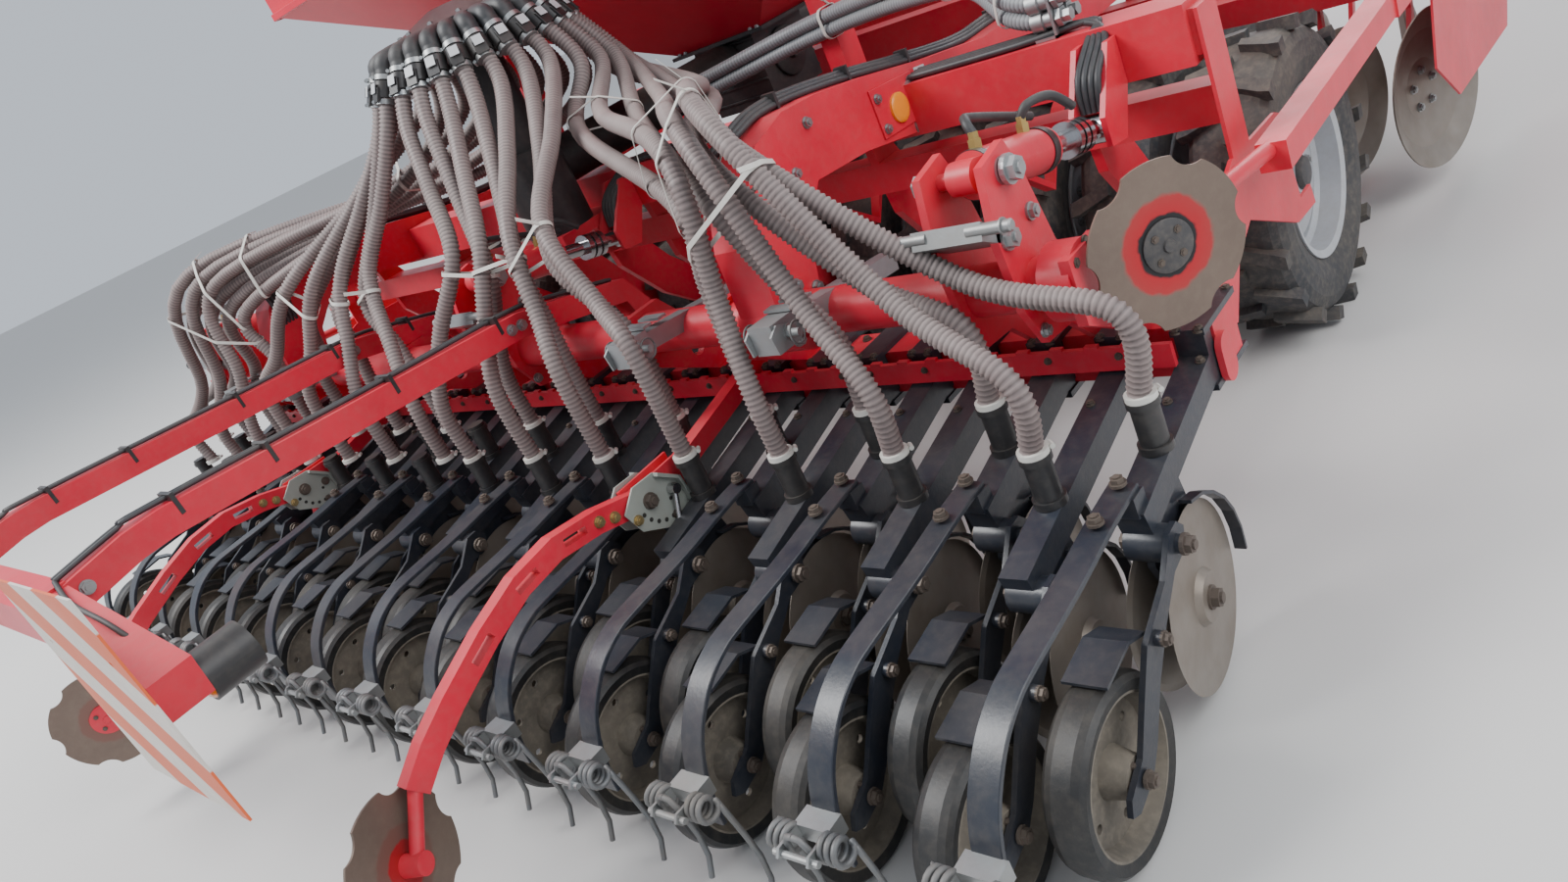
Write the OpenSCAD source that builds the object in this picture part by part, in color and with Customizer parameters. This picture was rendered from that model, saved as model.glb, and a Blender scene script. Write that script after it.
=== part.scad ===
/* [Seed rows] */
// Number of seed rows
rows = 28; // [24:2:28]
// Distance between two seed rows
row_pitch = 143; // [143:1:146]
// How far the rear row of coulters stands behind the front row
stagger = 150; // [145:1:155]

/* [Press wheels] */
// Radius of a press wheel over its tyre
wheel_r = 160; // [156:1:162]
// Width of a press wheel's tyre
wheel_w = 72; // [64:1:74]
// Distance of the front press wheels behind the packer axle
wheel_back = 1821; // [1815:1:1825]

/* [Opener discs] */
// Radius of an opener disc
opener_r = 170; // [160:1:172]
// Thickness of an opener disc
opener_t = 4; // [3:0.5:5]
// Height of the opener discs' axles
opener_z = 196; // [190:1:202]
// Toe-in of each opener disc in degrees
opener_toe = 5; // [4:0.5:6]

/* [Coulter arms] */
// Outer size of the square arm tube
arm_size = 54; // [48:1:58]
// Height of the coulter bar's middle
bar_z = 520; // [515:1:525]
// Distance of the coulter bar behind the packer axle
bar_back = 1100; // [1095:1:1105]
// Outer size of the square coulter bar
bar_size = 100; // [90:1:105]
// Width of a harrow bar
harrow_w = 50; // [40:1:52]
// Thickness of a harrow bar
harrow_t = 10; // [8:1:12]
// Diameter of the spring tine wire
tine_d = 11; // [9:1:12]

/* [Lift] */
// Distance of the rock shaft behind the packer axle
rock_back = 1291; // [1285:1:1296]
// Height of the rock shaft
rock_z = 750; // [745:1:755]
// Radius of the rock shaft tube
rock_r = 48; // [44:1:50]
// Distance of the lever pin above the rock shaft
lever_len = 211; // [205:1:216]
// Radius of the lift cylinder barrel
barrel_r = 42; // [38:1:44]
// Radius of the lift cylinder rod
lift_rod_r = 20; // [16:1:22]
// Radius of the lift cylinder pins
lift_pin_r = 15; // [13:1:16]

/* [Packer] */
// Number of packer tyres
tyre_count = 13; // [13]
// Radius of a packer tyre over its lugs
tyre_r = 390; // [385:1:394]
// Width of a packer tyre
tyre_w = 205; // [195:1:208]
// Height of a lug over the tread
lug_h = 22; // [16:1:26]
// Number of lugs on one side of a tyre
lugs = 17; // [14:1:19]
// Radius of the rim's bead seat
rim_r = 210; // [200:1:215]
// Radius of a packer stub axle
stub_r = 30; // [26:1:32]

/* [Frame] */
// Side distance of the main beams from the middle
beam_x = 1144; // [1138:1:1150]
// Width of a main beam
beam_w = 110; // [90:1:112]
// Distance from the packer axle forward to the hitch shaft
hitch_front = 3120; // [3050:10:3200]
// Radius of the hitch shaft's free pins
hitch_r = 18.3; // [18.3]
// Radius of the hitch shaft inside the drawbar
hitch_core_r = 26; // [24:1:28]

/* [Front discs] */
// Radius of a front disc
soil_disc_r = 230; // [225:1:235]
// Discs in one front row
soil_discs = 16; // [14:1:16]
// Distance between two discs in a row
soil_pitch = 246; // [240:1:248]
// Height of the front discs' hubs
soil_z = 300; // [290:1:310]

/* [Hopper] */
// Length of the hopper across the machine
hopper_x = 2500; // [2300:10:2600]
// Depth of the hopper along the machine
hopper_y = 1750; // [1650:10:1800]
// Height of the hopper's top rim
hopper_top = 2300; // [2200:10:2350]
// Wall of the hopper
hopper_wall = 5; // [4:1:8]

/* [Hoses] */
// Outer diameter of a seed hose
hose_d = 44; // [36:1:46]
// Height of the distributor's outlets
head_z = 1540; // [1520:1:1560]
// Distance of the distributor tower behind the packer axle
head_back = 862; // [855:1:870]
// Radius of the ring of distributor outlets
head_r = 240; // [230:1:250]

/* [Hidden] */

red = [0.72, 0.04, 0.06];
black = [0.06, 0.07, 0.09];
zinc = [0.62, 0.64, 0.65];

// The row frame's origin stands below the middle of the whole machine.
yoke_front = 90;
board_back = 2620;
mid_y = (hitch_front + yoke_front - board_back) / 2;

half_w = (rows - 1) / 2 * row_pitch;
// One packer tyre runs ahead of two seed rows.
tyre_pitch = 2 * row_pitch;
// Side distance of the outer ends of the frame's tubes.
side_x = half_w - 70;
function row_x(i) = half_w - i * row_pitch;
function even_rows() = [for (i = [0:2:rows - 1]) i];
function odd_rows() = [for (i = [1:2:rows - 1]) i];
function row_dy(i) = i % 2 == 0 ? 0 : -stagger;
function tyre_x(k) = ((tyre_count - 1) / 2 - k) * tyre_pitch;

// Machine frame to row frame.
module place() translate([0, -mid_y, 0]) children();
module mirror_x() { children(); mirror([1, 0, 0]) children(); }
// Turns a shape drawn round Z so that it stands round X.
module round_x(x, y, z) translate([x, y, z]) rotate([0, 90, 0]) children();
// A solid round bar along X, centred.
module rod_x(x, y, z, r, l) round_x(x, y, z) cylinder(r = r, h = l, center = true, $fn = 48);
// A plate drawn in side view (points are y and z), t thick, centred on x.
module side_plate(x, t, pts) translate([x - t / 2, 0, 0]) rotate([90, 0, 90])
    linear_extrude(t) polygon(pts);
// A square bar from one y, z point to another, w wide along X and h high.
module beam(x, p, q, w, h) {
    l = norm(q - p);
    translate([x, p[0], p[1]]) rotate([atan2(q[1] - p[1], q[0] - p[0]), 0, 0])
        translate([-w / 2, 0, -h / 2]) cube([w, l, h]);
}
// A square bar across the machine.
module cross_tube(x0, x1, y, z, w, h) translate([x0, y - w / 2, z - h / 2])
    cube([x1 - x0, w, h]);
// A bent strip: a path in side view with thickness t and width w along X.
function unit(v) = v / norm(v);
function path_dir(p, i) = unit(p[min(i + 1, len(p) - 1)] - p[max(i - 1, 0)]);
function path_side(p, i, o) = p[i] + o * [-path_dir(p, i)[1], path_dir(p, i)[0]];
module strip(x, path, t, w) side_plate(x, w, concat(
    [for (i = [0:len(path) - 1]) path_side(path, i, t / 2)],
    [for (i = [len(path) - 1:-1:0]) path_side(path, i, -t / 2)]));
// A round bar between two points.
module rod(p, q, r) {
    d = q - p;
    translate(p) rotate([0, acos(d[2] / norm(d)), atan2(d[1], d[0])])
        cylinder(r = r, h = norm(d), $fn = 48);
}

// Main frame
beam_low = 850;
beam_h = 150;
front_y = 1480;
cross_rear = [-640, 960];
cross_mid = [620, 925];
cross_front = [front_y - 60, 925];
cross_size = 120;
fit = 0.1;
stand_x = 700;
// A hopper stand ends in the hopper's sloping sheet, half way into its thickness.
function slope_z(d, d0, d1) = hopper_low + (d - d0) / (d1 - d0) * (hopper_knee - hopper_low);
function stand_top(y) = 3 + max(slope_z(stand_x - 30, hopper_mouth[0] / 2, hopper_x / 2),
    slope_z(abs(y - hopper_mid), hopper_mouth[1] / 2, hopper_y / 2));
module main_frame() color(red) {
    rear = -rock_back;
    difference() {
        union() {
            // curved side beams over the tyres, down to the rock shaft at the rear
            mirror_x() side_plate(beam_x, beam_w, [
                [front_y, beam_low], [front_y, beam_low + beam_h], [-300, beam_low + beam_h],
                [-560, 1040], [-800, 1085], [-1000, 1115], [-1120, 1122], [-1230, 1095],
                [-1310, 1020], [rear - 60, 930], [rear - 70, rock_z],
                [rear + 70, rock_z], [rear + 110, 880], [rear + 200, 960], [-900, 945],
                [-600, 890], [-300, beam_low]]);
            // cross tubes
            cross_tube(-side_x, side_x, cross_rear[0], cross_rear[1], cross_size, cross_size);
            cross_tube(-beam_x, beam_x, cross_mid[0], cross_mid[1], cross_size, cross_size);
            cross_tube(-1500, 1500, cross_front[0], cross_front[1], cross_size, cross_size);
            // rock shaft bearing housings
            mirror_x() rod_x(beam_x, rear, rock_z, rock_r + 28, beam_w + 20);
        }
        rod_x(0, rear, rock_z, rock_r + fit, 2 * beam_x + 400);
    }
    // ears and pins that hold the lift cylinders' front ends
    for (x = lift_x) {
        for (s = [-1, 1]) side_plate(x + s * 34, 12, [[-701, 1000], [-740, 1000],
            [rod_pin[0] - 40, rod_pin[1] + 30], [rod_pin[0] - 40, rod_pin[1] - 30],
            [rod_pin[0] + 30, rod_pin[1] - 40], [-701, 905]]);
        rod_x(x, rod_pin[0], rod_pin[1], lift_pin_r, 80);
    }
    // seat of the distributor tower
    translate([-100, -head_back - 90, 900]) cube([200, head_back + 90 + cross_rear[0], 30]);
    // hopper stands
    mirror_x() for (y = [-250, 900]) {
        side_plate(stand_x, 60, [[y, 885], [y + 90, 885], [y + 90, stand_top(y + 90)],
            [y, stand_top(y)]]);
        cross_tube(stand_x - 40, beam_x, y + 45, 925, 80, 80);
    }
}

// Packer
arm_x = [for (s = [-1, 1]) for (k = [1.5, 3.5, 5.5]) s * k * tyre_pitch];
module arm_profile(w) {
    // plate from the packer beam forward and down to the hub
    a = [[-650, 900], [-575, 900], [-500, 760], [-420, 640], [-250, 470],
        [40, 440], [60, 340], [-60, 330], [-330, 400], [-500, 540], [-620, 700]];
    side_plate(0, w, a);
}
module packer_frame() color(red) {
    for (x = concat(arm_x, [-tyre_pitch / 2, tyre_pitch / 2])) translate([x, 0, 0])
        difference() {
            union() {
                arm_profile(24);
                rod_x(0, 0, tyre_r, 62, 44);
            }
            rod_x(0, 0, tyre_r, stub_r + 0.1, 60);
        }
    // curved scraper bars in the gaps that have no arm
    for (s = [-1, 1]) for (k = [2.5, 4.5]) translate([s * k * tyre_pitch, 0, 0])
        strip(0, concat([[-600, 765]], [for (a = [30:10:80]) [-(tyre_r + 30) * cos(a), tyre_r + (tyre_r + 30) * sin(a)]]),
            16, 30);
    cross_tube(-side_x, side_x, -600, 800, 80, 80);
}
shield_x = half_w - 52;
panel_x = half_w + 72;
module side_shields() color(red) mirror_x() {
    x = shield_x;
    difference() {
        side_plate(x, 8, [[-937, 440], [-905, 545], [-860, 640], [-700, 700], [-420, 690],
            [-330, 650], [-345, 610], [-395, 600], [-375, 470], [-300, 470], [-290, 420],
            [-420, 430], [-560, 500], [-680, 560], [-780, 520], [-860, 420]]);
        for (p = [[-900, 480], [-820, 560], [-400, 655]]) rod_x(x, p[0], p[1], 9, 20);
    }
    // stay to the frame
    cross_tube(side_x, x - 4, cross_rear[0], cross_rear[1], 90, 90);
    side_plate(x, 8, [[-690, 690], [-590, 690], [-590, 1005], [-690, 1005]]);
    // hanging side panel beside the front discs, with its stay
    side_plate(panel_x, 6, [[500, 630], [1420, 630], [1440, 330], [1380, 250], [640, 300],
        [430, 450]]);
    cross_tube(1500, panel_x - 10, cross_front[0], cross_front[1], 90, 90);
    side_plate(panel_x - 7, 8, [[1320, 560], [1400, 560], [1460, 970], [1380, 970]]);
}

// Packer wheels
module lug(s, a, r) {
    // one bar of the tread, from the middle to the shoulder
    rotate([0, 0, a]) translate([r - lug_h - 14, 0, 0]) rotate([90, 0, 90])
        linear_extrude(lug_h + 12) polygon([[-14, s * 2], [16, s * 2], [52, s * tyre_w * 0.40],
            [58, s * tyre_w * 0.52], [22, s * tyre_w * 0.52], [10, s * tyre_w * 0.36]]);
}
module packer_tyre() {
    c = tyre_r - lug_h;
    w = tyre_w / 2;
    rotate_extrude($fn = 96) polygon([[rim_r, -w + 22], [rim_r + 22, -w + 14],
        [rim_r + 70, -w], [c - 46, -w + 1], [c - 18, -w + 10], [c - 4, -w + 26], [c, -w + 44],
        [c, w - 44], [c - 4, w - 26], [c - 18, w - 10], [c - 46, w - 1],
        [rim_r + 70, w], [rim_r + 22, w - 14], [rim_r, w - 22]]);
    step = 360 / lugs;
    for (i = [0:lugs - 1]) {
        lug(1, i * step, tyre_r);
        lug(-1, (i + 0.5) * step, tyre_r);
    }
}
module packer_rim() {
    w = tyre_w / 2 - 22;
    rotate_extrude($fn = 96) polygon([[rim_r, -w], [rim_r + 14, -w - 6],
        [rim_r + 14, -w - 11], [rim_r - 6, -w - 5], [rim_r - 8, -32], [rim_r - 22, -22],
        [rim_r - 22, 22], [rim_r - 8, 32], [rim_r - 6, w + 5], [rim_r + 14, w + 11],
        [rim_r + 14, w + 6], [rim_r, w]]);
    difference() {
        rotate_extrude($fn = 96) polygon([[0, 10], [0, 50], [stub_r + 22, 50],
            [stub_r + 22, 40], [110, 40], [130, 30], [rim_r - 50, 30], [rim_r - 16, 10],
            [rim_r - 16, 2], [rim_r - 52, 22], [128, 22], [108, 32], [60, 32], [50, 10]]);
        for (a = [0:60:300]) rotate([0, 0, a]) translate([84, 0, 20])
            cylinder(r = 8, h = 60, center = true, $fn = 24);
    }
}
// Tyres of one packer body: a twin, or the single one in the middle.
function body_tyres(n) = n == 4 ? [6] : n < 4 ? [2 * n - 2, 2 * n - 1] : [2 * n - 3, 2 * n - 2];
module packer_tyres(n) color(black)
    for (k = body_tyres(n)) round_x(tyre_x(k), 0, tyre_r) packer_tyre();
module packer_rims(n) color(zinc) {
    t = body_tyres(n);
    for (k = t) {
        flip = k == t[0] ? 0 : 180;
        round_x(tyre_x(k), 0, tyre_r) rotate([flip, 0, 0]) packer_rim();
    }
    mid = (tyre_x(t[0]) + tyre_x(t[len(t) - 1])) / 2;
    l = n == 4 ? tyre_pitch + 70 : tyre_pitch + 30;
    rod_x(mid, 0, tyre_r, stub_r, l);
}

// Coulter bar with rock shaft and levers
lift_x = [-1680, 150, 1680];
lever_pin = [-rock_back, rock_z + lever_len];
rod_pin = [-rock_back + 495, rock_z + 100];
module lever(x) {
    for (s = [-1, 1]) difference() {
        side_plate(x + s * 62, 16, [[-rock_back - 55, rock_z + 240], [-rock_back + 30, rock_z + 255],
            [-rock_back + 60, rock_z + 190], [-rock_back + 95, rock_z + 40],
            [-rock_back + 190, rock_z - 60], [-bar_back + 60, bar_z + 110],
            [-bar_back + 60, bar_z + bar_size / 2], [-bar_back - 60, bar_z + bar_size / 2],
            [-rock_back + 60, rock_z - 110], [-rock_back - 30, rock_z - 100],
            [-rock_back - 70, rock_z - 20], [-rock_back - 80, rock_z + 120]]);
        rod_x(x + s * 62, -rock_back + 70, rock_z - 60, 24, 40);
        rod_x(x + s * 62, lever_pin[0], lever_pin[1], lift_pin_r + 0.1, 40);
    }
    rod_x(x, lever_pin[0], lever_pin[1], lift_pin_r, 160);
}
bar_len = 2 * half_w + 60;
hanger_x = [20 - side_x, -900, -400, 700, 1000, side_x - 20];
module coulter_bar() color(red) {
    // rock shaft tube with end flanges
    rod_x(0, -rock_back, rock_z, rock_r, 2 * side_x - 30);
    mirror_x() rod_x(side_x - 48, -rock_back, rock_z, rock_r + 22, 60);
    for (x = lift_x) lever(x);
    // square coulter bar with a lip behind and a lip in front
    translate([-bar_len / 2, -bar_back - bar_size / 2, bar_z - bar_size / 2])
        cube([bar_len, bar_size, bar_size]);
    for (s = [[-half_w + 20, -half_w + 800], [-1200, 1200], [half_w - 800, half_w - 20]])
        translate([s[0], -bar_back - bar_size / 2 - 70, bar_z + 8]) cube([s[1] - s[0], 12, 46]);
    // hangers from the rock shaft
    for (x = hanger_x) difference() {
        side_plate(x, 20, [[-rock_back - 60, rock_z + 60],
            [-rock_back + 60, rock_z + 60], [-bar_back + 50, bar_z + 60],
            [-bar_back + 50, bar_z + bar_size / 2], [-bar_back - 50, bar_z + bar_size / 2],
            [-rock_back - 60, rock_z - 60]]);
        rod_x(x, -rock_back + 110, rock_z - 100, 22, 300);
    }
    // brackets of the pre-emergence markers, between two coulter arms
    mirror_x() {
        cross_tube(em_x - 16, em_x + 16, -bar_back - bar_size / 2 - 20, bar_z + 60, 60, 70);
        beam(em_x, [-bar_back - 60, bar_z + 62], [em_pivot[0] + 60, em_pivot[1] - 16], 36, 44);
        for (s = [-1, 1]) side_plate(em_x + s * 21, 7, [[em_pivot[0] - 30, em_pivot[1] + 40],
            [em_pivot[0] + 130, em_pivot[1] + 40], [em_pivot[0] + 130, em_pivot[1] - 36],
            [em_pivot[0] + 20, em_pivot[1] - 44], [em_pivot[0] - 30, em_pivot[1] - 20]]);
        rod_x(em_x, em_pivot[0], em_pivot[1], 12, 60);
    }
    // oval end plates
    mirror_x() hull() for (d = [-22, 22])
        rod_x(half_w + 36, -bar_back - 40, bar_z - 20 + d, 26, 12);
}
module lock_arms() color(zinc) mirror_x() for (x = [row_x(7) - row_pitch / 2, row_x(4) - row_pitch / 2]) {
    beam(x, [-rock_back - 180, 800], [-rock_back + 210, 752], 40, 40);
    difference() {
        side_plate(x, 60, [[-rock_back - 220, 770], [-rock_back - 220, 830],
            [-rock_back - 150, 826], [-rock_back - 150, 768]]);
        rod_x(x, -rock_back - 190, 800, 9, 90);
    }
    rod_x(x + 45, -rock_back - 190, 800, 8, 50);
}

// Coulters
arm_front = [-bar_back - bar_size / 2 + 20, bar_z - 8];
function arm_end(i) = i % 2 == 0 ? [-1545, 426] : [-1545 - stagger, 402];
function arm_at(i, y) = let (p = arm_front, q = arm_end(i)) p[1] + (q[1] - p[1]) * (y - p[0]) / (q[0] - p[0]);
function pivot_y(i) = -wheel_back + 296 + row_dy(i);
pivot_z = 378;
function elbow_y(i) = i % 2 == 0 ? -1401 : -1530;
module coulter_arms() color(black) for (i = [0:rows - 1]) translate([row_x(i), 0, 0]) {
    p = arm_front;
    q = arm_end(i);
    beam(0, p, q, arm_size, arm_size);
    // clamp plates round the bar
    for (s = [-1, 1]) translate([-arm_size / 2 - 4, -bar_back - bar_size / 2 - 40,
        bar_z + s * (bar_size / 2 + 6) - 6]) cube([arm_size + 8, bar_size + 60, 12]);
    translate([-arm_size / 2, -bar_back - bar_size / 2 - 36, bar_z - bar_size / 2 - 2])
        cube([arm_size, 30, bar_size + 4]);
    // boss for the wheel arm
    rod_x(10, pivot_y(i), pivot_z, 32, arm_size + 16);
}
module coulter_shoes() color(black) for (i = [0:rows - 1]) translate([row_x(i), row_dy(i), 0]) {
    y = -wheel_back + 380;
    side_plate(0, 14, [[y - 60, arm_at(i, y + row_dy(i)) - 10], [y + 60, arm_at(i, y + row_dy(i)) - 10],
        [y + 80, 330], [y + 40, opener_z - 20], [y - 30, opener_z - 20], [y - 90, 330]]);
    rod_x(0, y, opener_z, 26, 34);
    // curved guard in front of the disc
    strip(24, [for (a = [-10:15:80]) [y + (opener_r + 12) * cos(a), opener_z + (opener_r + 12) * sin(a)]],
        6, 22);
}
module opener_discs() color([0.45, 0.42, 0.38]) for (i = [0:rows - 1])
    translate([row_x(i), -wheel_back + 380 + row_dy(i), opener_z]) for (s = [-1, 1])
        rotate([0, 0, s * opener_toe]) round_x(s * 20, 0, 0) rotate([s > 0 ? 0 : 180, 0, 0])
            rotate_extrude($fn = 72) polygon([[0, 0], [opener_r - 12, 0], [opener_r, opener_t - 0.5],
                [opener_r, opener_t], [52, opener_t], [44, 16], [0, 16]]);
module seed_elbows() color(black) for (i = [0:rows - 1]) {
    z = arm_at(i, elbow_y(i)) + arm_size / 2;
    translate([row_x(i), elbow_y(i), z - 4]) {
        cylinder(r = 30, h = 14, $fn = 32);
        cylinder(r = 25, h = 56, $fn = 32);
        translate([0, 0, 56]) {
            sphere(r = 25, $fn = 32);
            rotate([-elbow_lean, 0, 0]) { cylinder(r = 25, h = 52, $fn = 32);
                translate([0, 0, 30]) cylinder(r = 29, h = 12, $fn = 32); }
        }
    }
}
module wheel_arms() color(black) for (i = [0:rows - 1]) translate([row_x(i), row_dy(i), 0]) {
    y = -wheel_back;
    x = wheel_w / 2 + 13;
    difference() {
        side_plate(x, 10, [[y + 330, pivot_z + 12], [y + 310, pivot_z + 34], [y + 280, pivot_z + 32],
            [y + 225, pivot_z - 20], [y + 120, 318], [y + 60, 250], [y + 10, 190], [y - 50, 165],
            [y - 62, 140], [y - 40, 128], [y + 20, 140], [y + 60, 172], [y + 120, 240],
            [y + 190, 300], [y + 262, pivot_z - 30], [y + 318, pivot_z - 22]]);
        rod_x(x, y, wheel_r, 10.1, 20);
    }
    rod_x(x + 6, y + 296, pivot_z, 16, 22);
    rod_x(x + 7, y + 150, 308, 13, 22);
}
module wheel_scrapers() color(black) for (i = [0:rows - 1]) translate([row_x(i), row_dy(i), 0]) {
    y = -wheel_back;
    z = wheel_r * 2 + 6;
    strip(0, [[y + 150, 316], [y + 100, z + 12], [y + 30, z + 4], [y + 10, z + 2]], 6, wheel_w + 4);
}
function harrow_path() = let (y = -wheel_back) [[y + 300, 488], [y + 200, 483], [y + 60, 470],
    [y - 100, 462], [y - 150, 455], [y - 200, 435], [y - 240, 405], [y - 275, 365],
    [y - 300, 310], [y - 312, 250], [y - 314, 215]];
harrow_x = -8;
module harrow_bars() color(black) for (i = even_rows()) translate([row_x(i) + harrow_x, 0, 0]) {
    strip(0, harrow_path(), harrow_t, harrow_w);
    for (p = [[-wheel_back + 285, 488], [-wheel_back + 190, 482]])
        translate([0, p[0], p[1]]) cylinder(r = 14, h = 14, $fn = 6);
    // foot on the coulter arm
    translate([-15, -wheel_back + 265, 445]) cube([44, 40, 42]);
}
tine_z = 300;
module harrow_tines() color(zinc) for (i = even_rows()) translate([row_x(i) + harrow_x, -wheel_back - 322, tine_z]) {
    // clamp
    translate([-34, -18, -16]) cube([68, 12, 32]);
    rod_x(0, -30, 0, tine_d / 2, 150);
    for (s = [-1, 1]) translate([s * 66, -30, 0]) {
        rod_x(0, 0, 0, 17, 30);
        rotate([15, 0, 0]) translate([s * 10, 16, -250]) cylinder(r = tine_d / 2, h = 250, $fn = 24);
    }
}
module press_tyre() {
    w = wheel_w / 2;
    r = wheel_r;
    rotate_extrude($fn = 72) polygon([[r - 30, -w + 4], [r - 12, -w], [r - 4, -w + 8], [r, -w + 20],
        [r, w - 20], [r - 4, w - 8], [r - 12, w], [r - 30, w - 4]]);
}
module press_disc() {
    w = wheel_w / 2;
    r = wheel_r - 30;
    difference() {
        rotate_extrude($fn = 72) polygon([[0, -w + 10], [30, -w + 10], [40, -10], [r - 14, -10],
            [r - 4, -w + 4], [r, -w + 4], [r, w - 4], [r - 4, w - 4], [r - 14, -2],
            [44, -2], [34, w + 4], [0, w + 4]]);
        for (a = [0:60:300]) rotate([0, 0, a]) translate([r - 42, 0, 0])
            cylinder(r = 8, h = 60, center = true, $fn = 24);
    }
}
module press_tyres(list) color(black) for (i = list)
    round_x(row_x(i), -wheel_back + row_dy(i), wheel_r) press_tyre();
module press_discs(list) color([0.62, 0.56, 0.46]) for (i = list)
    round_x(row_x(i), -wheel_back + row_dy(i), wheel_r) {
        press_disc();
        cylinder(r = 10, h = wheel_w / 2 + 24, $fn = 32);
    }

// Lift cylinders
lift_len = norm(lever_pin - rod_pin);
lift_tilt = atan2(rod_pin[1] - lever_pin[1], rod_pin[0] - lever_pin[0]);
module along_lift(x) translate([x, lever_pin[0], lever_pin[1]]) rotate([lift_tilt, 0, 0]) children();
module lift_barrels() color(red) for (x = lift_x) along_lift(x) difference() {
    union() {
        rotate([-90, 0, 0]) translate([0, 0, 20]) cylinder(r = barrel_r, h = 250, $fn = 48);
        rod_x(0, 0, 0, 30, 50);
        translate([-25, 0, -30]) cube([50, 40, 60]);
    }
    rod_x(0, 0, 0, lift_pin_r + 0.1, 70);
    rotate([-90, 0, 0]) translate([0, 0, 140]) cylinder(r = lift_rod_r + 0.1, h = 200, $fn = 48);
}
module lift_rods() color(zinc) for (x = lift_x) along_lift(x) {
    difference() {
        union() {
            rotate([-90, 0, 0]) translate([0, 0, 230]) cylinder(r = lift_rod_r, h = lift_len - 250, $fn = 48);
            rod_x(0, lift_len, 0, 30, 46);
            for (y = [360, 384, 408]) rotate([-90, 0, 0]) translate([0, 0, y])
                cylinder(r = 36, h = 16, $fn = 48);
        }
        rod_x(0, lift_len, 0, lift_pin_r + 5, 60);
    }
}

// Hopper, lid, metering, fan, air
hopper_mid = 230;
hopper_low = 1180;
hopper_knee = 1850;
hopper_mouth = [400, 300];
module hopper_shell(d) {
    x = hopper_x / 2 - d;
    y = hopper_y / 2 - d;
    above = d > 0 ? 40 : 0;
    hull() {
        translate([-x, hopper_mid - y, hopper_knee]) cube([2 * x, 2 * y, hopper_top - hopper_knee + above]);
        translate([0, hopper_mid, hopper_low]) mouth_block(d, 0.1);
    }
}
// A block as wide as the hopper's mouth, d inside its rim.
module mouth_block(d, h) translate([d - hopper_mouth[0] / 2, d - hopper_mouth[1] / 2, 0])
    cube([hopper_mouth[0] - 2 * d, hopper_mouth[1] - 2 * d, h]);
// The lid turns on pins in ears on the hopper's front rim.
hinge_at = [hopper_mid + hopper_y / 2 + 51, hopper_top];
hinge_x = [-900, 0, 900];
module hopper() color(red) {
    for (x = hinge_x) {
        for (s = [-1, 1]) side_plate(x + s * 42, 8, [[hinge_at[0] - 26, hopper_top - 50],
            [hinge_at[0] + 2, hopper_top - 30], [hinge_at[0] + 14, hopper_top - 8],
            [hinge_at[0] + 10, hopper_top + 10], [hinge_at[0] - 8, hopper_top + 12],
            [hinge_at[0] - 26, hopper_top - 4]]);
        rod_x(x, hinge_at[0], hinge_at[1], 8, 104);
    }
    difference() {
        union() {
            hopper_shell(0);
            translate([-hopper_x / 2 - 30, hopper_mid - hopper_y / 2 - 30, hopper_top - 50])
                cube([hopper_x + 60, hopper_y + 60, 50]);
        }
        hopper_shell(hopper_wall);
        // the open mouth over the metering unit
        translate([0, hopper_mid, hopper_low - 10]) mouth_block(hopper_wall + 1, 15);
    }
}
module hopper_lid() color(red) {
    translate([-hopper_x / 2 - 20, hopper_mid - hopper_y / 2 - 20, hopper_top + 0.2])
        cube([hopper_x + 40, hopper_y + 40, 30]);
    for (x = hinge_x) difference() {
        union() {
            rod_x(x, hinge_at[0], hinge_at[1], 14, 60);
            translate([x - 30, hopper_mid + hopper_y / 2 - 10, hopper_top + 5]) cube([60, 61, 8]);
        }
        rod_x(x, hinge_at[0], hinge_at[1], 8 + fit, 80);
    }
}
module metering_unit() color(black) {
    translate([-220, hopper_mid - 170, hopper_low - 12]) cube([440, 340, 12]);
    translate([-140, hopper_mid - 140, 930]) cube([280, 280, hopper_low - 12 - 930]);
    round_x(-190, hopper_mid, 1060) cylinder(r = 90, h = 50, $fn = 48);
}
fan_y = 1850;
fan_z = 1240;
fan_r = 300;
duct_z = fan_z - 150;
module fan_housing() color(red) {
    difference() {
        union() {
            round_x(-110, fan_y, fan_z) cylinder(r = fan_r, h = 220, $fn = 72);
            translate([-110, fan_y - 360, duct_z - 100]) cube([220, 360, 200]);
        }
        round_x(-100, fan_y, fan_z) cylinder(r = fan_r - 15, h = 200, $fn = 72);
        round_x(50, fan_y, fan_z) cylinder(r = 150, h = 80, $fn = 72);
        translate([-97, fan_y - 400, duct_z - 90]) cube([194, 400, 180]);
    }
    // foot on the drawbar and the motor on the closed side
    translate([-60, fan_y - 90, 870]) cube([120, 180, fan_z - fan_r + 10 - 870]);
    rod_x(-140, fan_y, fan_z, 50, 80);
}
module fan_impeller() color(zinc) {
    round_x(-90, fan_y, fan_z) {
        cylinder(r = 260, h = 6, $fn = 72);
        cylinder(r = 40, h = 150, $fn = 48);
        for (a = [0:30:330]) rotate([0, 0, a]) translate([150, -3, 0]) rotate([0, 0, 25])
            cube([105, 6, 140]);
    }
}
tower_r = 100;
back_duct_z = 1100;
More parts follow.
